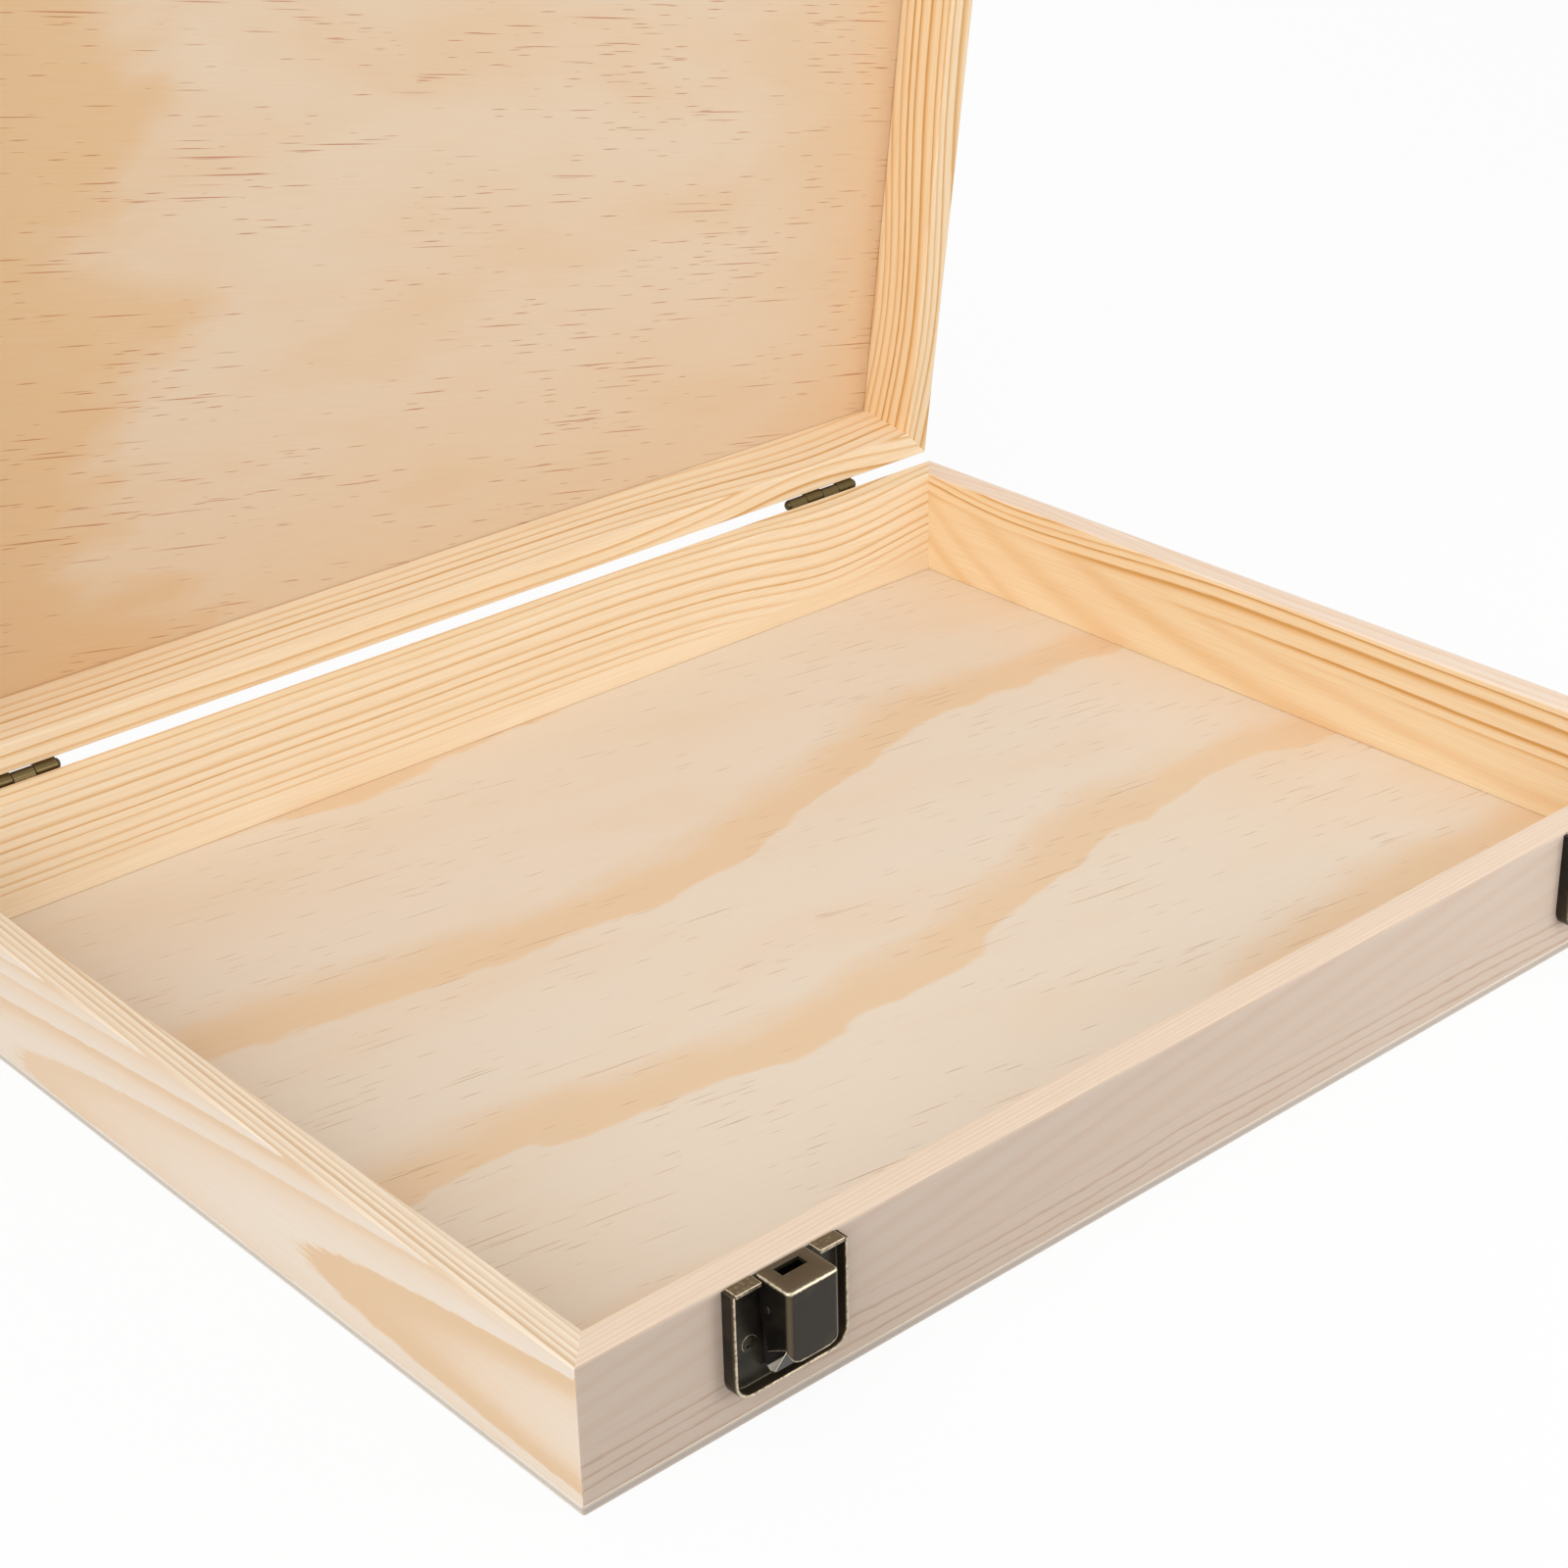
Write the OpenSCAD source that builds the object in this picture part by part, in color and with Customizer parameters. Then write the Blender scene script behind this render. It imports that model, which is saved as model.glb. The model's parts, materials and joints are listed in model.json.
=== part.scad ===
// Flat keepsake box of pale pine: a mitred tray and a mitred lid, each closed by a thin
// plywood panel, two surface hinges at the back and two sprung press latches at the front.
// Millimetres. Origin at the centre of the underside, front towards -Y, +Z up.

/* [Box] */
// Outside length of the box, left to right
box_w = 320; // [240:1:420]
// Outside depth of the box, front to back
box_d = 250; // [180:1:320]
// Outside height of the tray, bottom panel included
base_h = 30; // [26:0.5:60]
// Outside height of the lid, top panel included
lid_h = 20; // [19:0.5:40]
// Thickness of the pine boards
wall_t = 7.5; // [7:0.5:12]
// Thickness of the plywood panels
panel_t = 2; // [1.5:0.1:4]
// How far the lid stands open, in degrees
lid_open = 82; // [0:1:180]

/* [Hinges] */
// From the end of the box to the middle of the hinge
hinge_inset = 38.8; // [25:0.1:60]
// Length of the hinge barrel
hinge_l = 22.8; // [18:0.2:36]
// Number of knuckles in one barrel
knuckle_count = 4; // [2:2:6]
// Outer diameter of the barrel
barrel_d = 2.9; // [2.7:0.1:4]
// Diameter of the hinge pin
hinge_pin_d = 1.5; // [1:0.1:1.6]
// Length of the domed head at each end of the hinge pin
pin_head_l = 0.9; // [0.6:0.1:1.4]
// Thickness of the hinge leaves
leaf_t = 0.8; // [0.6:0.1:1]
// Height of a leaf, from the pin's axis to its far edge
leaf_h = 9.5; // [8:0.1:13]
// Radius of the leaf's outer corners
leaf_corner_r = 1.2; // [0.5:0.1:2]
// Between the two screws of one leaf
leaf_screw_gap = 13; // [9:0.1:14]

/* [Latch plate] */
// From the end of the box to the middle of the latch
latch_inset = 43.8; // [25:0.1:70]
// Width of the latch plate
plate_w = 26; // [24:0.1:34]
// Height of the latch plate below the rim
plate_h = 22.4; // [21:0.1:25]
// How far the plate's rim stands out from the wall
plate_depth = 3; // [2:0.1:4]
// Radius of the plate's lower corners
plate_corner_r = 4; // [2:0.1:6]
// Thickness of the latch sheet metal
sheet_t = 0.8; // [0.6:0.1:1]
// Height of the plate's screws below the rim
plate_screw_drop = 13; // [8:0.1:15]
// Diameter of the latch pivot pin
latch_pin_d = 1.6; // [1.2:0.1:2]
// Distance of the pivot below the rim
pivot_drop = 6; // [5.5:0.1:7]
// Distance of the pivot from the wall
pivot_out = 3; // [2.8:0.1:4]

/* [Latch lever] */
// Width of the press lever
lever_w = 11.4; // [10:0.1:12.4]
// How far the lever stands out from the wall
lever_depth = 8.7; // [8:0.1:11]
// Height of the lever's front face
lever_h = 14.8; // [12:0.1:16]
// Radius of the front face's lower corners
lever_corner_r = 2.8; // [1:0.1:3.4]
// How far the cheeks hang lower at the back than at the front
cheek_drop = 2.7; // [0:0.1:2.8]
// Swing of the lever when it is pressed, in degrees
lever_swing = 11; // [8:0.5:12]
// Width of the hook slot in the lever's top
slot_w = 5.6; // [4:0.1:6]
// Length of the hook slot, away from the wall
slot_l = 2.4; // [2.2:0.1:3]
// From the wall to the near edge of the hook slot
slot_back = 1.5; // [1.4:0.1:2]

/* [Latch spring] */
// Thickness of the leaf spring
spring_t = 0.35; // [0.2:0.05:0.5]
// Outer radius of the spring's bend
spring_bend_r = 1.7; // [1.2:0.1:2]
// From the plate's lower edge up to the middle of the bend
spring_lift = 4.4; // [3.2:0.1:5]
// From the lever's lower edge up to where the spring presses
spring_reach = 3; // [1:0.1:4]

/* [Lid catch] */
// Height of the catch plate on the lid
catch_h = 14; // [12:0.1:16]
// Height of the catch's screws above its lower edge
catch_screw_rise = 7.5; // [5:0.1:9]
// Thickness of the hook
hook_t = 0.9; // [0.6:0.1:1]
// How far the hook's nose reaches under the lever's top
hook_bite = 0.6; // [0.4:0.05:0.7]
// Height of the hook's nose
nose_h = 1.6; // [1:0.1:2]
// Height of the hook's arm above the catch's lower edge
arm_rise = 1.1; // [0.9:0.1:2]

/* [Screws] */
// Shank diameter of the wood screws
screw_d = 1.8; // [1.4:0.1:2.2]
// Head diameter of the wood screws
screw_head_d = 3.4; // [3:0.1:4]
// Length of the wood screws
screw_l = 6.2; // [5:0.1:7]
// Width of the cross recess in a screw head
recess_w = 0.5; // [0.3:0.05:0.7]

/* [Clearances] */
// Between a pin and its bore, on the radius
pin_clear = 0.05; // [0.02:0.01:0.1]
// Between neighbouring knuckles, and between a knuckle and the other leaf
knuckle_gap = 0.2; // [0.15:0.05:0.4]
// Between the hinge barrel and the back walls
barrel_gap = 0.3; // [0.25:0.05:0.6]
// Between the rims of tray and lid when shut
rim_gap = 0.3; // [0.2:0.05:0.6]
// Between the lever and the fixed parts around it
lever_gap = 0.25; // [0.2:0.05:0.4]
// Between the lever's sides and the plate's tabs
tab_gap = 0.8; // [0.5:0.05:1.2]
// Around the hook in its slot
hook_gap = 0.2; // [0.15:0.05:0.25]
// Between the shut lever and the catch above it
catch_gap = 0.2; // [0.15:0.05:0.5]
// Around a screw in its hole
screw_clear = 0.05; // [0.02:0.01:0.1]

/* [Hidden] */
$fn = 48;
cut = 1;
pine = "wheat";
plywood = "burlywood";
bronze = [0.24, 0.2, 0.14];
steel = "silver";

barrel_r = barrel_d / 2;
axis_out = barrel_r + barrel_gap;
axis_y = box_d / 2 + axis_out;
axis_z = base_h + rim_gap / 2;
lid_z = base_h + rim_gap;
hinge_x = box_w / 2 - hinge_inset;
knuckle_pitch = hinge_l / knuckle_count;
leaf_foot = barrel_r + knuckle_gap;
leaf_screw_z = (leaf_foot + leaf_h) / 2;
pin_head_r = barrel_r - 0.1;

latch_x = box_w / 2 - latch_inset;
plate_screw_x = lever_w / 2 + 2 * lever_gap + screw_head_d / 2;
tab_x = lever_w / 2 + tab_gap;
ear_t = sheet_t;
ear_r = latch_pin_d / 2 + 1;
ear_x = lever_w / 2 - sheet_t - lever_gap - ear_t;
latch_bore_r = latch_pin_d / 2 + pin_clear;
latch_pin_l = lever_w + 2 * lever_gap;

lever_back = sheet_t + lever_gap;
lever_side_h = lever_h - lever_corner_r;
cheek_h = lever_side_h + cheek_drop;
swing_room = tan(lever_swing + 2) * (cheek_h - pivot_drop);

spring_w = lever_w - 2 * sheet_t - 2 * lever_gap;
bend_steps = 16;
spring_mid_r = spring_bend_r - spring_t / 2;
spring_top = pivot_drop + ear_r + lever_gap;
bend_out = sheet_t + spring_bend_r;
bend_drop = plate_h - spring_lift;
// From the middle of the bend to the spring's tip, outwards and upwards
tip_out = lever_depth - sheet_t - lever_gap - bend_out;
tip_up = bend_drop - (lever_h - spring_reach);
blade_l = sqrt(tip_out * tip_out + tip_up * tip_up - spring_mid_r * spring_mid_r);
blade_lean = atan2(blade_l, spring_mid_r) - atan2(tip_up, tip_out);

catch_z = rim_gap + catch_gap;
slot_front = slot_back + slot_l;
hook_out = slot_front - hook_gap;
hook_w = slot_w - 4 * hook_gap;
arm_z = catch_z + arm_rise;
nose_z = -sheet_t - hook_gap;

// Places. Side is -1 on the left of the box and 1 on its right.

// Swings the lid's pieces, drawn shut, about the hinge axis
module lid_pose() {
    translate([0, axis_y, axis_z])
        rotate([-lid_open, 0, 0])
            translate([0, -axis_y, -axis_z])
                children();
}

// Moves a hinge from its axis to its place on the box
module at_hinge(side) {
    translate([side * hinge_x, axis_y, axis_z])
        children();
}

// Moves a latch from the corner of front face and rim to its place on the box
module at_latch(side) {
    translate([side * latch_x, -box_d / 2, base_h])
        children();
}

// The screw heads' places on one leaf, dir = -1 below the axis and 1 above it
module leaf_screws(dir) {
    for (end = [-1, 1])
        translate([end * leaf_screw_gap / 2, leaf_t - axis_out, dir * leaf_screw_z])
            rotate([-90, 0, 0])
                children();
}

// The screw heads' places on a latch plate or a catch, at height z
module latch_screws(z) {
    for (end = [-1, 1])
        translate([end * plate_screw_x, -sheet_t, z])
            rotate([90, 0, 0])
                children();
}

module all_hinge_screws(dir) {
    for (side = [-1, 1])
        at_hinge(side)
            leaf_screws(dir)
                children();
}

module all_plate_screws() {
    for (side = [-1, 1])
        at_latch(side)
            latch_screws(-plate_screw_drop)
                children();
}

module all_catch_screws() {
    for (side = [-1, 1])
        at_latch(side)
            latch_screws(catch_z + catch_screw_rise)
                children();
}

// Shared shapes

// Carries an outline drawn in Y and Z along X
module along_x(length) {
    rotate([90, 0, 90])
        linear_extrude(length, center = true)
            children();
}

// Carries an outline drawn in X and Z out of the front face
module out_of_front(depth) {
    rotate([90, 0, 0])
        linear_extrude(depth)
            children();
}

// Board mitred at both ends, standing on the front edge of a frame
module board(length, frame_depth, height) {
    linear_extrude(height)
        polygon([
            [-length / 2, -frame_depth / 2],
            [length / 2, -frame_depth / 2],
            [length / 2 - wall_t, wall_t - frame_depth / 2],
            [wall_t - length / 2, wall_t - frame_depth / 2]
        ]);
}

// Tray board and lid board, before they are turned to their side of the box
module tray_board(length, frame_depth) {
    translate([0, 0, panel_t])
        board(length, frame_depth, base_h - panel_t);
}

module lid_board(length, frame_depth) {
    translate([0, 0, lid_z])
        board(length, frame_depth, lid_h - panel_t);
}

module panel(z) {
    translate([-box_w / 2, -box_d / 2, z])
        cube([box_w, box_d, panel_t]);
}

// Countersunk wood screw, head up at the origin
module screw() {
    head_r = screw_head_d / 2;
    shank_r = screw_d / 2;
    difference() {
        rotate_extrude()
            polygon([
                [0, 0],
                [head_r, 0],
                [shank_r, shank_r - head_r],
                [shank_r, screw_d - screw_l],
                [0, -screw_l]
            ]);
        for (turn = [0, 90])
            rotate([0, 0, turn])
                translate([-head_r * 0.6, -recess_w / 2, -recess_w])
                    cube([head_r * 1.2, recess_w, recess_w + cut]);
    }
}

// The hole that a screw fills in metal and wood
module screw_hole() {
    head_r = screw_head_d / 2 + screw_clear;
    shank_r = screw_d / 2 + screw_clear;
    rotate_extrude()
        polygon([
            [0, cut],
            [head_r, cut],
            [head_r, 0],
            [shank_r, shank_r - head_r],
            [shank_r, -screw_l - screw_clear],
            [0, -screw_l - screw_clear]
        ]);
}

// Rectangle hanging from the rim, with round lower corners
module hanging_plate(width, height, corner_r) {
    translate([-width / 2, corner_r - height])
        square([width, height - corner_r]);
    translate([corner_r - width / 2, -height])
        square([width - 2 * corner_r, height]);
    for (end = [-1, 1])
        translate([end * (width / 2 - corner_r), corner_r - height])
            circle(corner_r);
}

// Pressed tray: a back sheet, a U-shaped rim and two tabs beside the lever
module pressed_tray(height) {
    out_of_front(sheet_t)
        difference() {
            hanging_plate(plate_w, height, plate_corner_r);
            translate([-tab_x, -lever_back])
                square([2 * tab_x, lever_back + cut]);
        }
    out_of_front(plate_depth) {
        difference() {
            hanging_plate(plate_w, height, plate_corner_r);
            translate([0, cut])
                hanging_plate(
                    plate_w - 2 * sheet_t,
                    height - sheet_t + cut,
                    plate_corner_r - sheet_t
                );
        }
        for (end = [-1, 1])
            translate([end * (tab_x + plate_w / 2) / 2, -sheet_t / 2])
                square([plate_w / 2 - tab_x, sheet_t], center = true);
    }
}

// Tray

module front_wall() {
    color(pine)
        difference() {
            tray_board(box_w, box_d);
            all_plate_screws()
                screw_hole();
        }
}

module back_wall() {
    color(pine)
        difference() {
            rotate(180)
                tray_board(box_w, box_d);
            all_hinge_screws(-1)
                screw_hole();
        }
}

module left_wall() {
    color(pine)
        rotate(-90)
            tray_board(box_d, box_w);
}

module right_wall() {
    color(pine)
        rotate(90)
            tray_board(box_d, box_w);
}

module bottom_panel() {
    color(plywood)
        panel(0);
}

// Lid

module lid_front_wall() {
    color(pine)
        lid_pose()
            difference() {
                lid_board(box_w, box_d);
                all_catch_screws()
                    screw_hole();
            }
}

module lid_back_wall() {
    color(pine)
        lid_pose()
            difference() {
                rotate(180)
                    lid_board(box_w, box_d);
                all_hinge_screws(1)
                    screw_hole();
            }
}

module lid_left_wall() {
    color(pine)
        lid_pose()
            rotate(-90)
                lid_board(box_d, box_w);
}

module lid_right_wall() {
    color(pine)
        lid_pose()
            rotate(90)
                lid_board(box_d, box_w);
}

module lid_panel() {
    color(plywood)
        lid_pose()
            panel(lid_z + lid_h - panel_t);
}

// Hinges

// Outline of one leaf beyond the knuckles, drawn in X and Z
module leaf_outline() {
    difference() {
        hanging_plate(hinge_l, leaf_h, leaf_corner_r);
        translate([-hinge_l / 2 - cut, -leaf_foot])
            square([hinge_l + 2 * cut, leaf_foot + cut]);
    }
}

// One hinge half: first = 0 takes the odd knuckles of the barrel and 1 the even ones
module hinge_half(first) {
    knuckle_l = knuckle_pitch - knuckle_gap;
    difference() {
        union() {
            translate([0, leaf_t - axis_out, 0])
                out_of_front(leaf_t)
                    leaf_outline();
            for (i = [first : 2 : knuckle_count - 1])
                translate([(i + 0.5) * knuckle_pitch - hinge_l / 2, 0, 0]) {
                    rotate([0, 90, 0])
                        cylinder(r = barrel_r, h = knuckle_l, center = true);
                    translate([-knuckle_l / 2, -axis_out, -leaf_foot])
                        cube([knuckle_l, leaf_t, leaf_foot]);
                }
        }
        rotate([0, 90, 0])
            cylinder(r = hinge_pin_d / 2 + pin_clear, h = hinge_l + 2 * cut, center = true);
        leaf_screws(-1)
            screw_hole();
    }
}

module hinge_base_leaf(side) {
    color(bronze)
        at_hinge(side)
            hinge_half(0);
}

module hinge_lid_leaf(side) {
    color(bronze)
        lid_pose()
            at_hinge(side)
                mirror([0, 0, 1])
                    hinge_half(1);
}

// Pin with a domed head at each end of the barrel
module hinge_pin(side) {
    color(bronze)
        at_hinge(side)
            rotate([0, 90, 0]) {
                cylinder(d = hinge_pin_d, h = hinge_l + pin_head_l, center = true);
                for (end = [0, 180])
                    rotate([end, 0, 0])
                        translate([0, 0, hinge_l / 2])
                            intersection() {
                                cylinder(r = pin_head_r, h = pin_head_l);
                                translate([0, 0, pin_head_l - 2 * pin_head_r])
                                    sphere(2 * pin_head_r);
                            }
            }
}

module left_hinge_base_leaf() {
    hinge_base_leaf(-1);
}

module right_hinge_base_leaf() {
    hinge_base_leaf(1);
}

module left_hinge_lid_leaf() {
    hinge_lid_leaf(-1);
}

module right_hinge_lid_leaf() {
    hinge_lid_leaf(1);
}

module left_hinge_pin() {
    hinge_pin(-1);
}

module right_hinge_pin() {
    hinge_pin(1);
}

module hinge_base_screws() {
    color(bronze)
        all_hinge_screws(-1)
            screw();
}

module hinge_lid_screws() {
    color(bronze)
        lid_pose()
            all_hinge_screws(1)
                screw();
}

// Latches

// The pivot's bore line, through ears and lever
module at_pivot() {
    translate([0, -pivot_out, -pivot_drop])
        rotate([0, 90, 0])
            children();
}

// Pressed tray with two ears that hold the pivot pin
module latch_plate(side) {
    color(bronze)
        at_latch(side)
            difference() {
                union() {
                    pressed_tray(plate_h);
                    for (end = [-1, 1])
                        translate([end * (ear_x + ear_t / 2), 0, 0])
                            along_x(ear_t) {
                                translate([-pivot_out, -pivot_drop])
                                    circle(ear_r);
                                translate([-pivot_out, -pivot_drop - ear_r])
                                    square([pivot_out, 2 * ear_r]);
                            }
                }
                at_pivot()
                    cylinder(r = latch_bore_r, h = plate_w, center = true);
                latch_screws(-plate_screw_drop)
                    screw_hole();
            }
}

// Box-shaped press lever: slotted top, rounded front and two side cheeks
module latch_lever(side) {
    color(bronze)
        at_latch(side)
            difference() {
                union() {
                    translate([-lever_w / 2, -lever_depth, -sheet_t])
                        cube([lever_w, lever_depth - lever_gap, sheet_t]);
                    translate([0, sheet_t - lever_depth, 0])
                        out_of_front(sheet_t)
                            hanging_plate(lever_w, lever_h, lever_corner_r);
                    for (end = [-1, 1])
                        translate([end * (lever_w - sheet_t) / 2, 0, 0])
                            along_x(sheet_t)
                                polygon([
                                    [-lever_back, 0],
                                    [-lever_back, -pivot_drop],
                                    [-lever_back - swing_room, -cheek_h],
                                    [-lever_depth, -lever_side_h],
                                    [-lever_depth, 0]
                                ]);
                }
                translate([-slot_w / 2, -slot_front, -sheet_t - cut])
                    cube([slot_w, slot_l, sheet_t + 2 * cut]);
                at_pivot()
                    cylinder(r = latch_bore_r, h = lever_w + 2 * cut, center = true);
            }
}

module latch_pin(side) {
    color(steel)
        at_latch(side)
            at_pivot()
                cylinder(d = latch_pin_d, h = latch_pin_l, center = true);
}

// Points round the spring's bend at radius r, from the leg on the plate to the blade
function bend(r) = [
    for (i = [0 : bend_steps])
        let (turn = -i * (180 - blade_lean) / bend_steps)
            r * [cos(turn), sin(turn)]
];

function backwards(points) = [for (i = [len(points) - 1 : -1 : 0]) points[i]];

// Leaf spring: one leg flat on the plate, a bend below, and a blade behind the lever's front
module latch_spring(side) {
    outer = bend(spring_bend_r);
    inner = bend(spring_bend_r - spring_t);
    blade = blade_l * [-sin(blade_lean), cos(blade_lean)];
    leg_l = bend_drop - spring_top;
    color(steel)
        at_latch(side)
            along_x(spring_w)
                translate([-bend_out, -bend_drop])
                    polygon(concat(
                        [[spring_bend_r, leg_l]],
                        outer,
                        [outer[bend_steps] + blade, inner[bend_steps] + blade],
                        backwards(inner),
                        [[spring_bend_r - spring_t, leg_l]]
                    ));
}

// Pressed tray on the lid, with the hook that drops through the lever's slot
module latch_catch(side) {
    color(bronze)
        lid_pose()
            at_latch(side) {
                difference() {
                    translate([0, 0, catch_z])
                        mirror([0, 0, 1])
                            pressed_tray(catch_h);
                    latch_screws(catch_z + catch_screw_rise)
                        screw_hole();
                }
                along_x(hook_w)
                    polygon([
                        [-sheet_t, arm_z],
                        [-sheet_t, arm_z + hook_t],
                        [-hook_out, arm_z + hook_t],
                        [-hook_out, nose_z],
                        [-slot_front - hook_bite, nose_z],
                        [-hook_out, nose_z - nose_h],
                        [hook_t - hook_out, nose_z - nose_h],
                        [hook_t - hook_out, arm_z]
                    ]);
            }
}

module left_latch_plate() {
    latch_plate(-1);
}

module right_latch_plate() {
    latch_plate(1);
}

module left_latch_lever() {
    latch_lever(-1);
}

module right_latch_lever() {
    latch_lever(1);
}

module left_latch_pin() {
    latch_pin(-1);
}

module right_latch_pin() {
    latch_pin(1);
}

module left_latch_spring() {
    latch_spring(-1);
}

module right_latch_spring() {
    latch_spring(1);
}

module latch_plate_screws() {
    color(bronze)
        all_plate_screws()
            screw();
}

module left_latch_catch() {
    latch_catch(-1);
}

module right_latch_catch() {
    latch_catch(1);
}

module latch_catch_screws() {
    color(bronze)
        lid_pose()
            all_catch_screws()
                screw();
}

front_wall();
back_wall();
left_wall();
right_wall();
bottom_panel();
lid_front_wall();
lid_back_wall();
lid_left_wall();
lid_right_wall();
lid_panel();
left_hinge_base_leaf();
right_hinge_base_leaf();
left_hinge_lid_leaf();
right_hinge_lid_leaf();
left_hinge_pin();
right_hinge_pin();
hinge_base_screws();
hinge_lid_screws();
left_latch_plate();
right_latch_plate();
left_latch_lever();
right_latch_lever();
left_latch_pin();
right_latch_pin();
left_latch_spring();
right_latch_spring();
latch_plate_screws();
left_latch_catch();
right_latch_catch();
latch_catch_screws();
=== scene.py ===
import json
import math

import bmesh
import bpy
import numpy as np
from mathutils import Matrix, Vector


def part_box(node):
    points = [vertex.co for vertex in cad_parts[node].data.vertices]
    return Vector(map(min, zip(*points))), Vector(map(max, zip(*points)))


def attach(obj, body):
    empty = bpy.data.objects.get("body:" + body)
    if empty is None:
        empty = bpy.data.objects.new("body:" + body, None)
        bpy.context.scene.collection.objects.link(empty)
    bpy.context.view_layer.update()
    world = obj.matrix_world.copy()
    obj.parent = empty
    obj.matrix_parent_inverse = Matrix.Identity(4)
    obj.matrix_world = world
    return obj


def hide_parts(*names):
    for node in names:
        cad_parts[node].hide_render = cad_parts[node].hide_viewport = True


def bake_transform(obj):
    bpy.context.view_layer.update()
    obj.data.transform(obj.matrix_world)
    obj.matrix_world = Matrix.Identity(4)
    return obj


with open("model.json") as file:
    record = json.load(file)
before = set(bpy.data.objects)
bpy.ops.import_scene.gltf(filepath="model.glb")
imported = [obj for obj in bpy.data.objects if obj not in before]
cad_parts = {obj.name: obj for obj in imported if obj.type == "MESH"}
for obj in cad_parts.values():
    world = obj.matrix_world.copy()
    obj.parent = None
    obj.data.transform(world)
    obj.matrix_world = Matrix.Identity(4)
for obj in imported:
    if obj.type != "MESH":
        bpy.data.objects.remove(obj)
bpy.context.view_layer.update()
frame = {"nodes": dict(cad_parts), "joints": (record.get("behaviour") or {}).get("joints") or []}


# Tray walls. Four sawn pine boards, mitred at the corners and glued into a frame, with every
# arris eased by sandpaper. The lid's frame is sawn off the same boards, so the growth rings of
# each side run on from the tray into the lid.

MM = 0.001
ARRIS = 0.5
FOOT_ARRIS = 0.35
FLAT_MARGIN = 1.0
SMOOTH_ANGLE = math.radians(40)
# Where a board's section is repeated beside its mitres, in arris radii from the end.
MITRE_STEPS = (0, 0.18, 0.36, 0.54, 0.71, 3.0)


def corners_mm(part):
    """Lowest and highest corner of a node of the frame, in millimetres."""
    return [np.array(corner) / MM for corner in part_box(part)]


front_low, front_high = corners_mm("front_wall")
left_low, left_high = corners_mm("left_wall")
box_width = front_high[0] - front_low[0]
box_depth = left_high[1] - left_low[1]
wall_thickness = left_high[0] - left_low[0]
front_face = front_low[1]
rim_height = front_high[2]


def grid_faces(rows, columns, wrap):
    """Quads between neighbouring points of a grid; wrap joins the last column to the first."""
    row, column = np.meshgrid(np.arange(rows - 1), np.arange(columns - (not wrap)), indexing="ij")
    beside = (column + 1) % columns
    corners = [row * columns + column, row * columns + beside,
               (row + 1) * columns + beside, (row + 1) * columns + column]
    return np.stack(corners, -1).reshape(-1, 4).tolist()


def closed_loft(loops):
    """Skin through a stack of closed loops of points, with a flat face over the first and last loop."""
    count, around = loops.shape[:2]
    faces = grid_faces(count, around, wrap=True)
    faces.append(list(range(around)))
    faces.append(list(range((count - 1) * around, count * around)))
    return loops.reshape(-1, 3), faces


def put(name, points, faces, material, closed=True, **fields):
    """New piece at the origin: points in millimetres, faces, one material, and named fields on the
    points. A closed shape has its faces turned outwards."""
    mesh = bpy.data.meshes.new(name)
    mesh.from_pydata((points * MM).tolist(), [], faces)
    for field, values in fields.items():
        kind, key = ("FLOAT_VECTOR", "vector") if values.ndim == 2 else ("FLOAT", "value")
        mesh.attributes.new(field, kind, "POINT").data.foreach_set(key, values.astype(np.float32).ravel())
    if closed:
        shape = bmesh.new()
        shape.from_mesh(mesh)
        bmesh.ops.recalc_face_normals(shape, faces=shape.faces)
        shape.to_mesh(mesh)
        shape.free()
    mesh.shade_smooth()
    mesh.set_sharp_from_angle(angle=SMOOTH_ANGLE)
    mesh.materials.append(material)
    piece = bpy.data.objects.new(name, mesh)
    bpy.context.scene.collection.objects.link(piece)
    return piece


def fix(piece, body, part):
    """The piece rides on a body of the frame, and the node of the frame that it stands in for is hidden.
    """
    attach(piece, body)
    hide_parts(part)


def quarter_turn(count):
    """Angles of that many points spaced evenly over a quarter circle."""
    return np.linspace(0, math.pi / 2, count)


def board_section(bottom, top, thickness):
    """Loop round a board of v, which goes up, and w, which goes in from the outer face: a quarter circle
    at each arris and a point on the flat beside it."""
    loop = []
    for corner, (v, w, radius) in enumerate([
        (top, thickness, ARRIS), (bottom, thickness, FOOT_ARRIS), (bottom, 0, FOOT_ARRIS), (top, 0, ARRIS)
    ]):
        angle = quarter_turn(5) + corner * math.pi / 2
        centre_v = v - radius if v == top else v + radius
        centre_w = w - radius if w == thickness else w + radius
        arc = np.stack([centre_v + radius * np.cos(angle), centre_w + radius * np.sin(angle)], -1)
        before = arc[0] - FLAT_MARGIN * np.array([-math.sin(angle[0]), math.cos(angle[0])])
        after = arc[-1] + FLAT_MARGIN * np.array([-math.sin(angle[-1]), math.cos(angle[-1])])
        loop.append(np.vstack([before, arc, after]))
    return np.vstack(loop)


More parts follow.
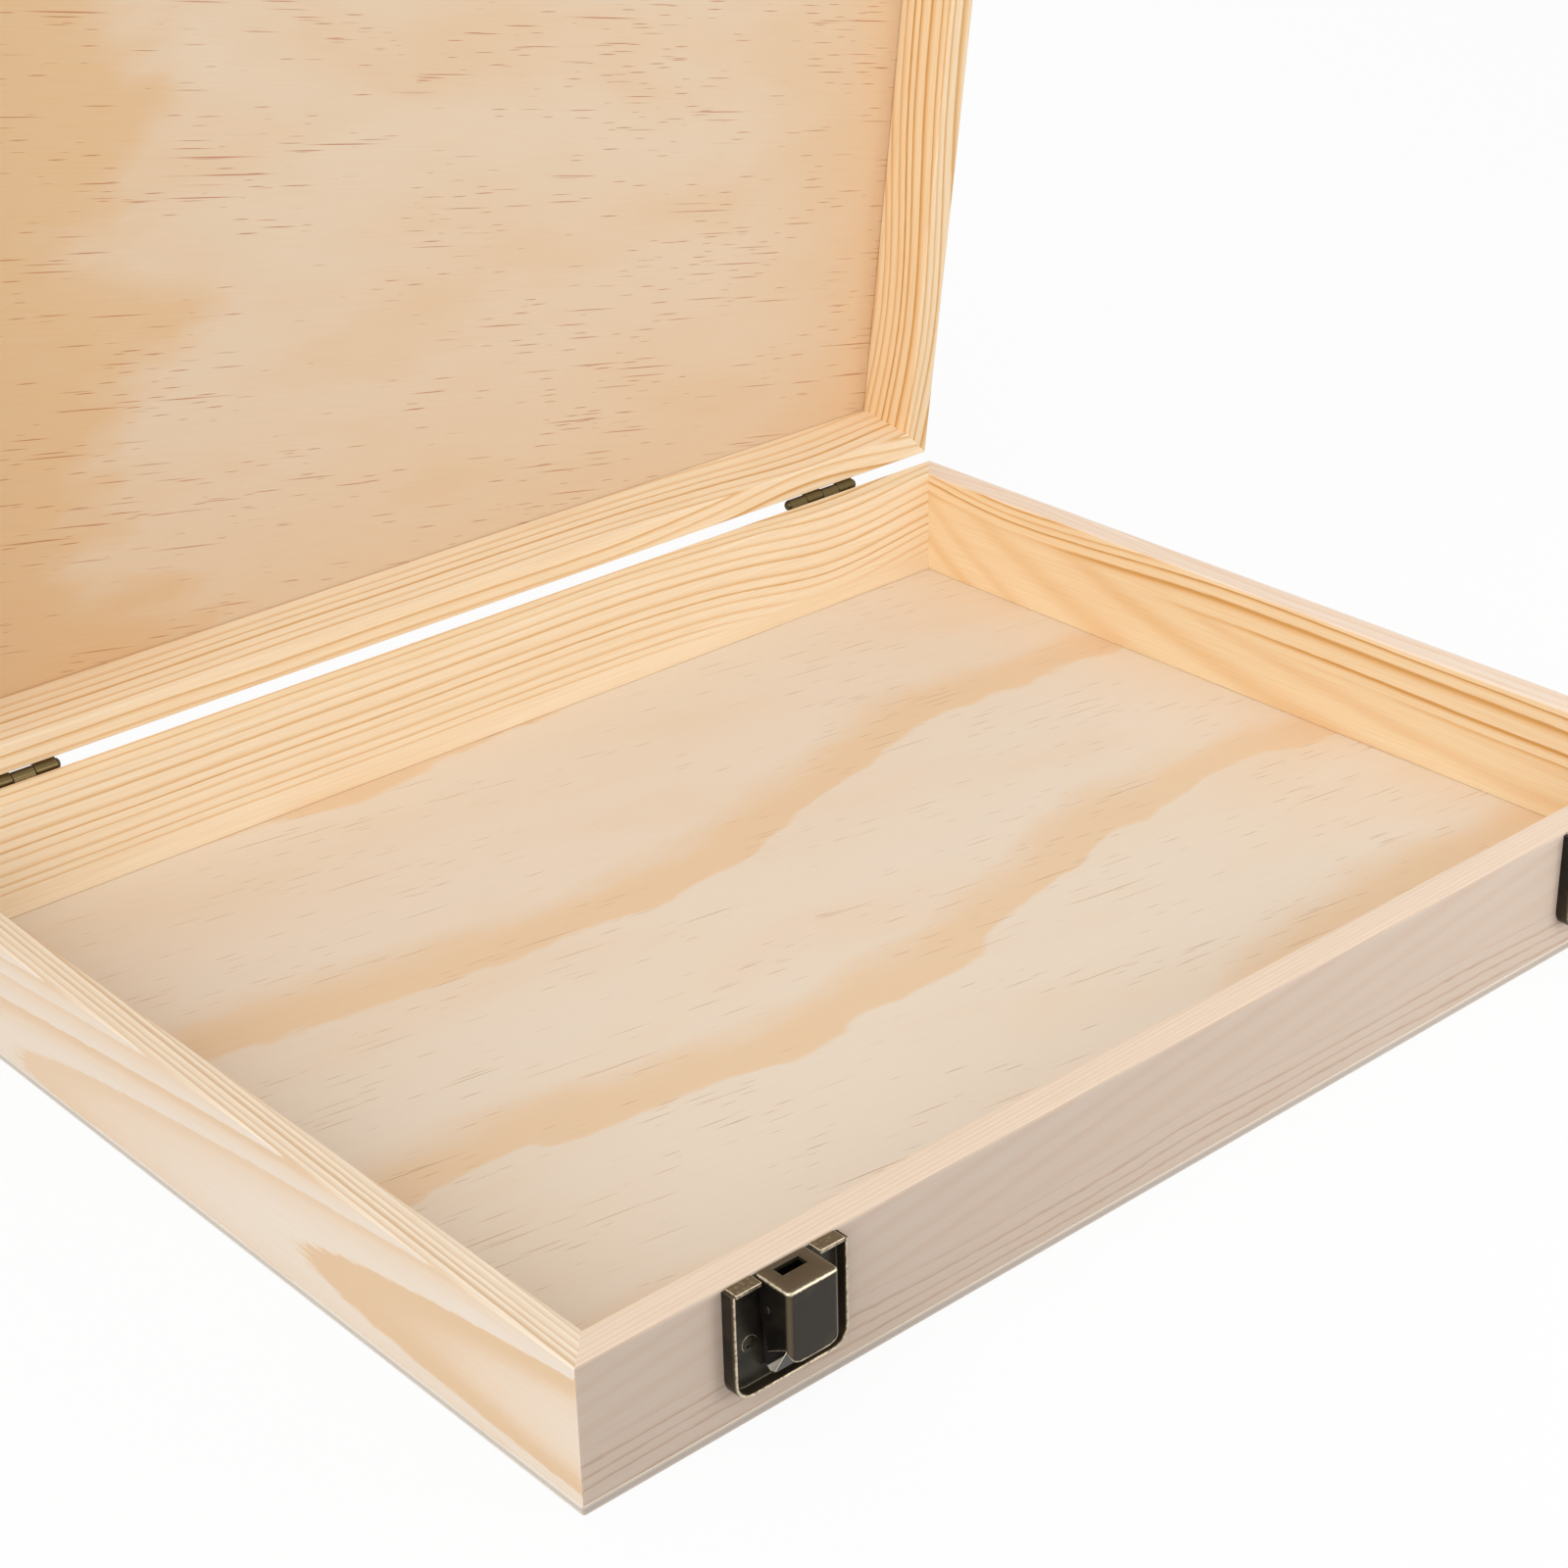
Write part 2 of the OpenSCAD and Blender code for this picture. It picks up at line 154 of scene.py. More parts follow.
def mitred_board(length, bottom, top, thickness):
    """Loops of u, which goes along a board, v and w: the section stops at half the length less w at each
    end, which is the mitre, and the outer face turns in there by an arc of the arris."""
    section = board_section(bottom, top, thickness)
    mitre_foot = ARRIS * (1 - math.sqrt(0.5))
    steps = np.array(MITRE_STEPS) * ARRIS
    stations = np.r_[-(length / 2 - steps), 0, (length / 2 - steps)[::-1]] / (length / 2)
    depth = np.maximum(section[:, 1], mitre_foot)
    along = stations[:, None] * (length / 2 - depth)
    from_end = np.minimum(length / 2 - np.abs(along), ARRIS)
    arc = ARRIS - np.sqrt(ARRIS ** 2 - (ARRIS - from_end) ** 2)
    inward = np.maximum(section[:, 1], arc)
    upward = np.broadcast_to(section[:, 0], along.shape)
    return np.stack([along, upward, inward], -1)


def paint(red, green, blue):
    """A colour as seen on a screen, 0 to 255, as Blender's linear colour."""
    shade = np.array([red, green, blue]) / 255
    linear = np.where(shade <= 0.04045, shade / 12.92, ((shade + 0.055) / 1.055) ** 2.4)
    return (*linear.tolist(), 1.0)


class Pattern:
    """A number, vector or colour that changes over a surface, as a shader node puts it out. Sums and
    products with it add Math nodes to its tree."""

    def __init__(self, tree, socket):
        self.tree = tree
        self.socket = socket

    def maths(self, operation, *others):
        """What a Math node makes of this pattern and the others."""
        return add(self.tree, "Math", dict(enumerate((self, *others))), operation=operation)[0]

    def vector(self, operation, other):
        """What a Vector Math node makes of this pattern and another."""
        return add(self.tree, "VectorMath", {0: self, 1: other}, operation=operation)[0]

    def __add__(self, other):
        return self.maths("ADD", other)

    def __sub__(self, other):
        return self.maths("SUBTRACT", other)

    def __rsub__(self, other):
        return add(self.tree, "Math", {0: other, 1: self}, operation="SUBTRACT")[0]

    def __mul__(self, other):
        return self.maths("MULTIPLY", other)

    def __truediv__(self, other):
        return self.maths("DIVIDE", other)

    def __abs__(self):
        return self.maths("ABSOLUTE")


def add(tree, kind, sockets, **options):
    """Adds a shader node with these options and gives its outputs by number and by name. Sockets maps an
    input to a value or to a pattern."""
    made = tree.nodes.new("ShaderNode" + kind)
    for option, value in options.items():
        setattr(made, option, value)
    for socket, value in sockets.items():
        if isinstance(value, Pattern):
            tree.links.new(value.socket, made.inputs[socket])
        else:
            made.inputs[socket].default_value = value
    patterns = [Pattern(tree, socket) for socket in made.outputs]
    return {**dict(enumerate(patterns)), **{pattern.socket.name: pattern for pattern in patterns}}


def xyz(pattern):
    """The three components of a vector."""
    made = add(pattern.tree, "SeparateXYZ", {0: pattern})
    return made[0], made[1], made[2]


def ramp(pattern, start, end):
    """Smooth step from 0 where the pattern is at start to 1 where it is at end."""
    sockets = {"Value": pattern, "From Min": start, "From Max": end}
    return add(pattern.tree, "MapRange", sockets, interpolation_type="SMOOTHSTEP")[0]


def noise(place, pace, detail=2.0):
    """Noise around 0.5 at a place in millimetres; pace says how fast it changes along each axis."""
    paced = place.vector("MULTIPLY", pace)
    return add(place.tree, "TexNoise", {"Vector": paced, "Scale": 1.0, "Detail": detail})[0]


def blend(share, first, second):
    """Colour that goes from first to second as share goes from 0 to 1, by a Mix node's colour sockets."""
    return add(share.tree, "Mix", {0: share, 6: first, 7: second}, data_type="RGBA")[2]


def attribute(tree, name, output="Vector"):
    """One of the piece's own fields."""
    return add(tree, "Attribute", {}, attribute_name=name)[output]


def group(name, inputs, fill):
    """New shader group: inputs are names with defaults, and fill works the named outputs out from them."""
    tree = bpy.data.node_groups.new(name, "ShaderNodeTree")
    for label, default in inputs.items():
        kind = "NodeSocketVector" if isinstance(default, tuple) else "NodeSocketFloat"
        tree.interface.new_socket(label, in_out="INPUT", socket_type=kind).default_value = default
    given = tree.nodes.new("NodeGroupInput").outputs
    gives = fill(tree, {label: Pattern(tree, given[label]) for label in inputs})
    for label in gives:
        tree.interface.new_socket(label, in_out="OUTPUT", socket_type="NodeSocketFloat")
    ends = tree.nodes.new("NodeGroupOutput").inputs
    for label, pattern in gives.items():
        tree.links.new(pattern.socket, ends[label])
    return tree


# Paces of the noise along, up and into a board: slow and fine bends of the rings, fibre and clouds.
SLOW_BEND = (0.012, 0.035, 0.035)
FINE_BEND = (0.16, 1.3, 1.3)
PINE_FIBRE = (0.035, 2.4, 2.4)
PINE_CLOUDS = (0.01, 0.06, 0.06)
FINE_BEND_MM = 0.22
# Pace and size of the noise that makes years uneven, and how strongly the faintest year shows.
YEAR_PACE = 0.45
YEAR_SPREAD = 0.8
FAINTEST_YEAR = 0.6
LATE_END = 0.98


def growth_rings(tree, given):
    """Distance from a leaning pith, bent aside near a knot and by slow and fine noise, cut into years:
    each year darkens slowly towards its end and stops short there."""
    grain = given["Grain"]
    along, height, _ = xyz(grain)
    apart = (along - given["Swerve place"]) / given["Swerve reach"]
    nearness = (apart * apart * -1.0).maths("EXPONENT")
    swerve = nearness * (1.0 - height * given["Swerve fade"]) * given["Swerve"]
    aside = add(tree, "CombineXYZ", {1: swerve})[0]
    pith = given["Pith"].vector("ADD", given["Lean"].vector("MULTIPLY", along))
    offset = grain.vector("SUBTRACT", pith).vector("SUBTRACT", aside)
    across = offset.vector("MULTIPLY", (0.0, 1.0, 1.0))
    radius = add(tree, "VectorMath", {0: across}, operation="LENGTH")["Value"]
    slow = (noise(grain, SLOW_BEND, detail=1.0) - 0.5) * given["Wander"]
    fine = (noise(grain, FINE_BEND) - 0.5) * FINE_BEND_MM
    years = (radius + slow + fine) / given["Ring width"]
    uneven = add(tree, "TexNoise", {"W": years * YEAR_PACE, "Scale": 1.0, "Detail": 0.0},
                 noise_dimensions="1D")[0]
    years = uneven * YEAR_SPREAD + years
    through = years.maths("FRACT")
    peak = 1.0 - given["Edge"]
    darkening = ramp(through, LATE_END - given["Late share"], peak)
    ending = ramp(through, 1.0, peak)
    chance = add(tree, "TexWhiteNoise", {"W": years.maths("FLOOR")}, noise_dimensions="1D")[0]
    strength = (chance * (1.0 - FAINTEST_YEAR) + FAINTEST_YEAR) * given["Strength"]
    return {"Latewood": darkening * ending * strength, "Fibre": noise(grain, PINE_FIBRE, detail=3.0)}


RINGS = group("growth_rings", {
    "Grain": (0.0, 0.0, 0.0), "Pith": (0.0, 0.0, 0.0), "Lean": (0.0, 0.0, 0.0), "Ring width": 2.0,
    "Late share": 0.4, "Edge": 0.07, "Strength": 1.0, "Wander": 0.5, "Swerve": 0.0, "Swerve place": 0.0,
    "Swerve reach": 30.0, "Swerve fade": 0.0,
}, growth_rings)


def empty_material(name):
    """New material with no nodes in it yet."""
    material = bpy.data.materials.new(name)
    material.use_nodes = True
    material.node_tree.nodes.clear()
    return material


def finish_surface(material, colour, roughness, height, bump_depth, metallic=0.0, gloss=0.3):
    """Principled shader with a bump of that depth in millimetres, on the material's output."""
    tree = material.node_tree
    bump = add(tree, "Bump", {"Height": height, "Strength": 1.0, "Distance": bump_depth * MM})
    shader = add(tree, "BsdfPrincipled", {
        "Base Color": colour, "Roughness": roughness, "Metallic": metallic,
        "Specular IOR Level": gloss, "Normal": bump[0],
    })
    add(tree, "OutputMaterial", {"Surface": shader[0]})
    return material


FIBRE_RANGE = (0.35, 0.75)
STREAK_SHARE = 0.26
CLOUD_RANGE = (0.3, 0.78)
CLOUD_SHARE = 0.12
LINE_RANGE = (0.5, 1.0)
RINGS_MERGE = 2.5
PINE_ROUGH = 0.62
LATE_POLISH = 0.12
LATE_RELIEF = 0.6
PINE_BUMP = 0.03
# Distances from the saw cut, and below a board's face, where its own tone ends and where it is full. Below
# a face that tone is the face's tint, which on the front board's outer face is painted shade.
SAWN_DEPTH = (0.35, 0.1)
FACE_DEPTH = (0.5, 0.2)


def pine(name, tones, rings, lower=None, rim_share=1.0, tints=None):
    """Bare pine with its own growth rings. The tones are the early wood, the same wood fresh from the saw
    that parted lid and tray, the late wood, and a darker line where a strong year ends. Lower is a height,
    its slope along the board and another set of rings, which take over below that height, where the saw
    ran along the rings. The rim share says how strongly the rings show on the sawn rim, and the tints are
    what the outer and the inner face's colours are multiplied by; an outer tint below 1 is painted shade."""
    pale, fresh, late, line = (paint(*tone) for tone in tones)
    material = empty_material(name)
    tree = material.node_tree
    grain = attribute(tree, "grain")
    along, upward, inward = xyz(grain)
    wood = add(tree, "Group", {"Grain": grain, **rings}, node_tree=RINGS)
    latewood, fibre = wood["Latewood"], wood["Fibre"]
    if lower:
        border, slope, lower_rings = lower
        above = ramp(upward - (along * slope + border), -RINGS_MERGE, RINGS_MERGE)
        flat = add(tree, "Group", {"Grain": grain, **lower_rings}, node_tree=RINGS)["Latewood"]
        latewood = latewood * above + (1.0 - above) * flat
    streak = ramp(fibre, *FIBRE_RANGE) * STREAK_SHARE
    tone = ramp(noise(grain, PINE_CLOUDS), *CLOUD_RANGE) * CLOUD_SHARE
    sawn = ramp(abs(upward - rim_height), *SAWN_DEPTH)
    latewood = latewood * (sawn * (rim_share - 1.0) + 1.0)
    colour = blend(streak + tone, blend(sawn, pale, fresh), late)
    colour = blend(latewood, colour, late)
    colour = blend(ramp(latewood, *LINE_RANGE), colour, line)
    # The outer tint darkens the outer face, which is painted shade; the inner tint lightens the inner face
    # to the other boards' tone.
    if tints:
        outside = ramp(inward, *FACE_DEPTH)
        inside = ramp(inward, *(wall_thickness - depth for depth in FACE_DEPTH))
        for face, tint in zip((outside, inside), tints):
            colour = blend(face, colour, colour.vector("MULTIPLY", tint))
    roughness = latewood * -LATE_POLISH + PINE_ROUGH
    return finish_surface(material, colour, roughness, latewood * LATE_RELIEF + fibre, PINE_BUMP)


PINE = {
    # Front board: its outer face is multiplied by a darker tint, which is painted shade; its inner face is
    # lifted to the other boards' tone.
    "front": pine(
        "pine_front_painted_shade", ((227, 210, 192), (244, 222, 199), (221, 194, 171), (192, 168, 143)),
        {"Pith": (0, -200, -980), "Lean": (0, 0.12, 0), "Ring width": 1.1, "Late share": 0.7, "Edge": 0.35,
         "Strength": 0.58, "Wander": 0.5},
        lower=(13.5, 0.0, {
            "Pith": (0, -200, -980), "Lean": (0, -0.01, 0), "Ring width": 0.6, "Late share": 0.5,
            "Edge": 0.35, "Strength": 0.85, "Wander": 1.5}),
        rim_share=0.8, tints=((0.72, 0.702, 0.702), (1.2, 1.14, 0.96))),
    # Back board: its tones are lighter than plain pine. This is painted light, standing in for the light
    # that falls on the inside of the back wall.
    "back": pine(
        "pine_back_painted_light", ((255, 238, 210), (255, 238, 208), (234, 188, 124), (214, 164, 98)),
        {"Pith": (0, 108, -58), "Ring width": 2.2, "Late share": 0.5, "Edge": 0.12, "Strength": 0.88,
         "Wander": 1.8, "Swerve": -7.5, "Swerve place": 118, "Swerve reach": 36, "Swerve fade": 0.0154},
        lower=(7.5, 0.0, {
            "Pith": (0, -700, -700), "Lean": (0, 0.1, 0), "Ring width": 9.0, "Late share": 0.8,
            "Edge": 0.45, "Strength": 0.2, "Wander": 3.0})),
    "left": pine(
        "pine_left", ((231, 218, 203), (253, 238, 216), (228, 199, 166), (222, 190, 153)),
        {"Pith": (0, 8.6, 61.53), "Lean": (0, -0.06, 0.014), "Ring width": 1.4, "Late share": 1.0,
         "Wander": 0.12}),
    "right": pine(
        "pine_right", ((246, 224, 188), (250, 233, 217), (226, 173, 101), (202, 146, 72)),
        {"Pith": (0, -20, -45), "Lean": (0, 0.012, 0), "Ring width": 2.2, "Late share": 0.6, "Edge": 0.12,
         "Wander": 1.4, "Swerve": -1.4, "Swerve place": 85, "Swerve reach": 45, "Swerve fade": -0.1},
        lower=(18.8, 0.045, {
            "Pith": (0, -700, -700), "Ring width": 8.5, "Late share": 0.7, "Edge": 0.4, "Strength": 0.38,
            "Wander": 5.0, "Swerve": 392, "Swerve place": 461, "Swerve reach": 250}),
        rim_share=0.25),
}

# Each side's length, outer face and the directions of u and w in the box.
SIDES = {
    "front": (box_width, (0, -box_depth / 2, 0), (1, 0, 0), (0, 1, 0)),
    "back": (box_width, (0, box_depth / 2, 0), (1, 0, 0), (0, -1, 0)),
    "left": (box_depth, (-box_width / 2, 0, 0), (0, 1, 0), (1, 0, 0)),
    "right": (box_depth, (box_width / 2, 0, 0), (0, 1, 0), (-1, 0, 0)),
}


def side_board(side, bottom, top):
    """Points, faces and grain of the board on one side of the shut box, between two heights."""
    length, outer, along, inward = (np.array(value) for value in SIDES[side])
    grain, faces = closed_loft(mitred_board(length, bottom, top, wall_thickness))
    points = outer + grain[:, :1] * along + grain[:, 2:] * inward
    points[:, 2] = grain[:, 1]
    return points, faces, grain


for side in SIDES:
    points, faces, grain = side_board(side, front_low[2], rim_height)
    piece = put(f"{side}_board", points, faces, PINE[side], grain=grain)
    fix(piece, "tray", f"{side}_wall")


# Bottom panel. A sheet of three-ply pine plywood glued under the tray's frame and sanded flush.
# Its face veneer is peeled from the log, so the rings show as wide wavy bands with short brown
# flecks along the grain.

PANEL_ARRIS = 0.25
PANEL_CORNER_R = 0.6
PLY_FACE = 0.5
LEAST_CORNER_R = 0.01
# How far a plate's rings are rubbed, from its face round the arris to its side.
EDGE_WEAR = (0.0, 0.7, 1.0, 1.0, 0.7)

bottom_low, bottom_high = corners_mm("bottom_panel")
panel_thickness = bottom_high[2] - bottom_low[2]


def eased_rings(thickness, ease):
    """Inset, height and wear of the rings that carry a plate's outline from one face, round both of
    its arrises by quarter circles, to the other face."""
    turn = quarter_turn(len(EDGE_WEAR) - 1)
    inset = np.r_[2 * ease, ease * (1 - np.sin(turn))]
    height = np.r_[0, ease * (1 - np.cos(turn))]
    return (np.r_[inset, inset[::-1]], np.r_[height, thickness - height[::-1]],
            np.r_[EDGE_WEAR, EDGE_WEAR[::-1]])


def rounded_rectangle(low, high, radii, inset):
    """One loop for each inset round a rectangle, with a quarter circle at each corner, taken
    anticlockwise from the far right one."""
    turn = quarter_turn(6)
    corner = np.repeat(np.arange(4), len(turn))
    angle = np.tile(turn, 4) + corner * math.pi / 2
    radius = np.array(radii)[corner]
    side = np.array([[1, 1], [-1, 1], [-1, -1], [1, -1]])[corner]
    edge = np.where(side > 0, high, low)
    centre = edge - side * radius[:, None]
    reach = np.stack([np.cos(angle), np.sin(angle)], -1)
    left = np.maximum(radius - inset[:, None], LEAST_CORNER_R)
    return centre + reach * left[..., None]


def plate(low, high, thickness, radii, ease):
    """Flat plate in its own plane with eased arrises: loops of two places and a height, and wear."""
    inset, height, wear = eased_rings(thickness, ease)
    flat = rounded_rectangle(np.array(low), np.array(high), radii, inset)
    rise = np.broadcast_to(height[:, None, None], (*flat.shape[:2], 1))
    return np.concatenate([flat, rise], -1), np.repeat(wear, flat.shape[1])


# Three sizes of fleck: paces of the cells along and across the grain, and the longest reach in a cell.
FLECKS = ((0.016, 0.75, 0.2), (0.06, 0.95, 0.2), (0.03, 0.85, 0.18))
SHORTEST_FLECK = 0.3
FLECK_CORE = 0.3
FLECK_FADE = 0.12
ROW_SHIFT = 0.618
FLECK_CROWDS = (0.02, 0.04, 0.0)
CROWD_RANGE = (0.38, 0.66)
CROWD_LEAST = 0.25
VENEER_CLOUDS = (0.011, 0.03, 0.0)
VENEER_FIBRE = (0.05, 1.6, 0.0)


def larger(first, second):
    """The larger of a pattern and another pattern or number, at each point."""
    return first.maths("MAXIMUM", second)


def rotary_veneer(tree, given):
    """Flecks are stretched cells whose chance number is high, each of its own length, thinned out by slow
    noise and shifted along the grain from row to row; clouds are slow noise drawn out along the grain;
    fibre is fine noise along the grain."""
    laid = add(tree, "VectorRotate", {"Vector": given["Grain"], "Angle": given["Slope"]},
               rotation_type="Z_AXIS")[0]
    along, across, _ = xyz(laid)
    slow = noise(laid, FLECK_CROWDS, detail=1.0)
    crowd = ramp(slow, *CROWD_RANGE) * (1.0 - CROWD_LEAST) + CROWD_LEAST
    bar = 1.0 - given["Fleck share"] * crowd
    marks = []
    for length_pace, width_pace, longest in FLECKS:
        row = across * width_pace
        shifted = row * ROW_SHIFT + along * length_pace
        cell_place = add(tree, "CombineXYZ", {0: shifted, 1: row})[0]
        cells = add(tree, "TexVoronoi", {"Vector": cell_place, "Scale": 1.0}, voronoi_dimensions="2D")
        chance, length, _ = xyz(cells["Color"])
        reach = length * (longest * (1.0 - SHORTEST_FLECK)) + longest * SHORTEST_FLECK
        near = ramp(cells["Distance"], reach, reach * FLECK_CORE)
        marks.append(near * ramp(chance, bar, bar + FLECK_FADE))
    return {
        "Fleck": larger(larger(marks[0], marks[1]), marks[2]),
        "Cloud": noise(laid, VENEER_CLOUDS, detail=3.0), "Fibre": noise(laid, VENEER_FIBRE, detail=3.0),
    }


VENEER = group("rotary_veneer", {
    "Grain": (0.0, 0.0, 0.0), "Slope": 0.0, "Fleck share": 0.5,
}, rotary_veneer)

# Tones of the cut plies and of the core between them, on the edges all round and on the front edge, where
# the darker tones are painted shade.
CUT_PLY = ((224, 217, 207), (196, 184, 170))
CORE_PLY = ((200, 191, 179), (178, 167, 158))
FRONT_EDGE_SHADE = (0.6, 0.1)
CORE_LINE = 0.1
VENEER_STREAK = 0.12
FLECK_SHADE = 0.75
VENEER_ROUGH = 0.5
FIBRE_ROUGH = 0.15
VENEER_BUMP = 0.02


def plywood(name, tones, slope, fleck_share, band_mask):
    """Pine plywood in tones of pale wood, band and fleck: a band mask and clouds tint the face veneer,
    flecks mark it, and along the cut edges the plies are grey, with the core darker between the two
    faces, and the front edge darker than the rest, which is painted shade."""
    pale, band, fleck = (paint(*tone) for tone in tones)
    material = empty_material(name)
    tree = material.node_tree
    grain = attribute(tree, "grain")
    _, across, depth = xyz(grain)
    face = add(tree, "Group", {"Grain": grain, "Slope": slope, "Fleck share": fleck_share},
               node_tree=VENEER)
    fibre = face["Fibre"]
    tint = ramp(fibre, *FIBRE_RANGE) * VENEER_STREAK + band_mask(grain, face["Cloud"])
    colour = blend(tint.maths("MINIMUM", 1.0), pale, band)
    colour = blend(face["Fleck"] * FLECK_SHADE, colour, fleck)
    # Painted shade: the cut plies and the core are darker along the front edge.
    painted_front_shade = ramp(across, *(front_face + inside for inside in FRONT_EDGE_SHADE))
    cut_ply, core_ply = (blend(painted_front_shade, *(paint(*tone) for tone in pair)) for pair in (CUT_PLY, CORE_PLY))
    half = panel_thickness / 2
    middle = abs(depth - half)
    colour = blend(ramp(middle, half, half - PANEL_ARRIS), colour, cut_ply)
    core = half - PLY_FACE
    colour = blend(ramp(middle, core, core - CORE_LINE), colour, core_ply)
    return finish_surface(material, colour, fibre * FIBRE_ROUGH + VENEER_ROUGH, fibre, VENEER_BUMP)


BAND_PERIOD = 69.0
BAND_WAVE = 9.0
BAND_WAVE_LENGTH = 230.0
BAND_TROUGH = -18.0
BAND_EDGE = 32.0
BAND_RISE = 0.06
BAND_RAGGED = 18.0
BAND_RAGGED_PACE = (0.028, 0.05, 0.0)
BAND_START = (0.0, 0.03)
BAND_FADE = (0.36, 0.12)
BAND_SHARE = 0.8
WIDE_FROM = 33.0
WIDENING = 0.353
MOTTLE_RANGE = (0.4, 0.75)
MOTTLE_SHARE = 0.3


def floor_bands(grain, cloud):
    """Bands across the floor: the distance from a rising cosine wave along the box, in band periods,
    which widen at the back. Each band starts sharply at its front edge and fades towards the back."""
    along, across, _ = xyz(grain)
    wave = ((along - BAND_TROUGH) * (2 * math.pi / BAND_WAVE_LENGTH)).maths("COSINE") * BAND_WAVE
    ragged = (noise(grain, BAND_RAGGED_PACE, detail=3.0) - 0.5) * BAND_RAGGED
    edge = across - BAND_EDGE + wave - along * BAND_RISE + ragged
    far = larger(edge - WIDE_FROM, 0.0)
    through = ((edge - far * WIDENING) / BAND_PERIOD).maths("FRACT")
    band = ramp(through, *BAND_START) * ramp(through, *BAND_FADE)
    return larger(band * BAND_SHARE, ramp(cloud, *MOTTLE_RANGE) * MOTTLE_SHARE)


def panel_mesh(low, high):
    """Points, faces and grain of a panel between two corners."""
    loops, _ = plate(low[:2], high[:2], high[2] - low[2], [PANEL_CORNER_R] * 4, PANEL_ARRIS)
    grain, faces = closed_loft(loops)
    return grain + np.array([0, 0, low[2]]), faces, grain


floor_ply = plywood("plywood_floor", ((239, 226, 209), (237, 206, 168), (192, 152, 114)),
                    slope=0.13, fleck_share=0.34, band_mask=floor_bands)
points, faces, grain = panel_mesh(bottom_low, bottom_high)
fix(put("floor_panel", points, faces, floor_ply, grain=grain), "tray", "bottom_panel")


# Hinge leaves on the tray. Two small butt hinges of sheet metal, plated antique bronze: each leaf
# lies on the back wall and rolls up into two knuckles of the barrel.

# Paces of the noise in the plating: chips along rubbed edges, cloudy patina and fine grime.
CHIPS = (1.4, 1.4, 1.4)
PATINA = (0.22, 0.22, 0.22)
GRIME = (4.0, 4.0, 4.0)
CHIP_DEPTH = 0.7
CHIP_RANGE = (0.35, 0.85)
PATINA_RANGE = (0.35, 0.7)
PATINA_SHARE = 0.22
BRONZE_ROUGH = 0.2
GRIME_ROUGH = 0.3
BRONZE_BUMP = 0.004
BRONZE_GLOSS = 0.5


def rubbed_bronze(tree, given):
    """Brass shows where the wear field is high, broken up by fine noise; patina is soft cloudy noise,
    and grime is fine speckle."""
    place = given["Place"]
    worn = noise(place, CHIPS, detail=3.0) * CHIP_DEPTH + given["Wear"] - CHIP_DEPTH / 2
    return {"Brass": ramp(worn, *CHIP_RANGE), "Patina": noise(place, PATINA),
            "Grime": noise(place, GRIME, detail=3.0)}


BRONZE = group("rubbed_bronze", {"Place": (0.0, 0.0, 0.0), "Wear": 0.0}, rubbed_bronze)


def place_mm(tree):
    """Object coordinates in millimetres."""
    return add(tree, "TexCoord", {})["Object"].vector("MULTIPLY", (1 / MM,) * 3)


def bronze(name, tones, metallic):
    """Lacquered antique bronze in tones of dark metal, warm metal and brass: warmer in soft clouds and
    where the wear field's second value is high, and rubbed to brass along its edges, where the first
    value is high."""
    dark, warm, brass = (paint(*tone) for tone in tones)
    material = empty_material(name)
    tree = material.node_tree
    edge, tone, _ = xyz(attribute(tree, "wear"))
    skin = add(tree, "Group", {"Place": place_mm(tree), "Wear": edge}, node_tree=BRONZE)
    cloud = ramp(skin["Patina"], *PATINA_RANGE) * PATINA_SHARE
    colour = blend(larger(tone, cloud), dark, warm)
    colour = blend(skin["Brass"], colour, brass)
    grime = skin["Grime"]
    roughness = grime * GRIME_ROUGH + BRONZE_ROUGH
    return finish_surface(material, colour, roughness, grime, BRONZE_BUMP, metallic, BRONZE_GLOSS)


def metal(points, wear, tone):
    """Wear field on a metal piece: how far each point is rubbed to brass, and how warm its plating is."""
    rubbed, warm = (np.broadcast_to(value, len(points)) for value in (wear, tone))
    return np.stack([rubbed, warm, np.zeros(len(points))], -1)


def join(parts):
    """One shape out of several: each part is points, faces and a field on its points."""
    starts = np.cumsum([0] + [len(points) for points, _, _ in parts])
    faces = [[start + i for i in face] for start, (_, part, _) in zip(starts, parts) for face in part]
    return np.vstack([part[0] for part in parts]), faces, np.concatenate([part[2] for part in parts])


def prism(outline, *stations):
    """Outline of y and z carried along x through these stations, with a flat face at both ends."""
    places = np.array(stations)[:, None, None]
    side = np.broadcast_to(outline, (len(stations), *outline.shape))
    return closed_loft(np.concatenate([np.broadcast_to(places, (*side.shape[:2], 1)), side], -1))


def soften(piece, width):
    """Small round bevel on the piece's sharp edges."""
    bevel = piece.modifiers.new("soften", "BEVEL")
    bevel.width = width * MM
    bevel.segments = 2
    bevel.limit_method = "ANGLE"
    bevel.angle_limit = math.radians(50)
    bevel.harden_normals = False


HANDS = ("left", "right")
LEAF_THICKNESS = 0.8
LEAF_EASE = 0.15
LEAF_CORNER_R = 1.2
LEAF_TOP_R = 0.3
LEAF_WEAR = 0.7
LEAF_TONE = 0.3
KNUCKLE_COUNT = 4
KNUCKLE_GAP = 0.2
KNUCKLE_WEAR = 0.25
KNUCKLE_TONE = 0.5
CURL_STEPS = 28
CURL_OPENING = math.radians(24)
CURL_PLAY = 0.1
CURL_LAP = 0.4
HINGE_BEVEL = 0.08
# How far below the axis a knuckle's strip leaves the leaf's plane, at the wall and on the other side.
CURL_START = (0.6, 0.7)

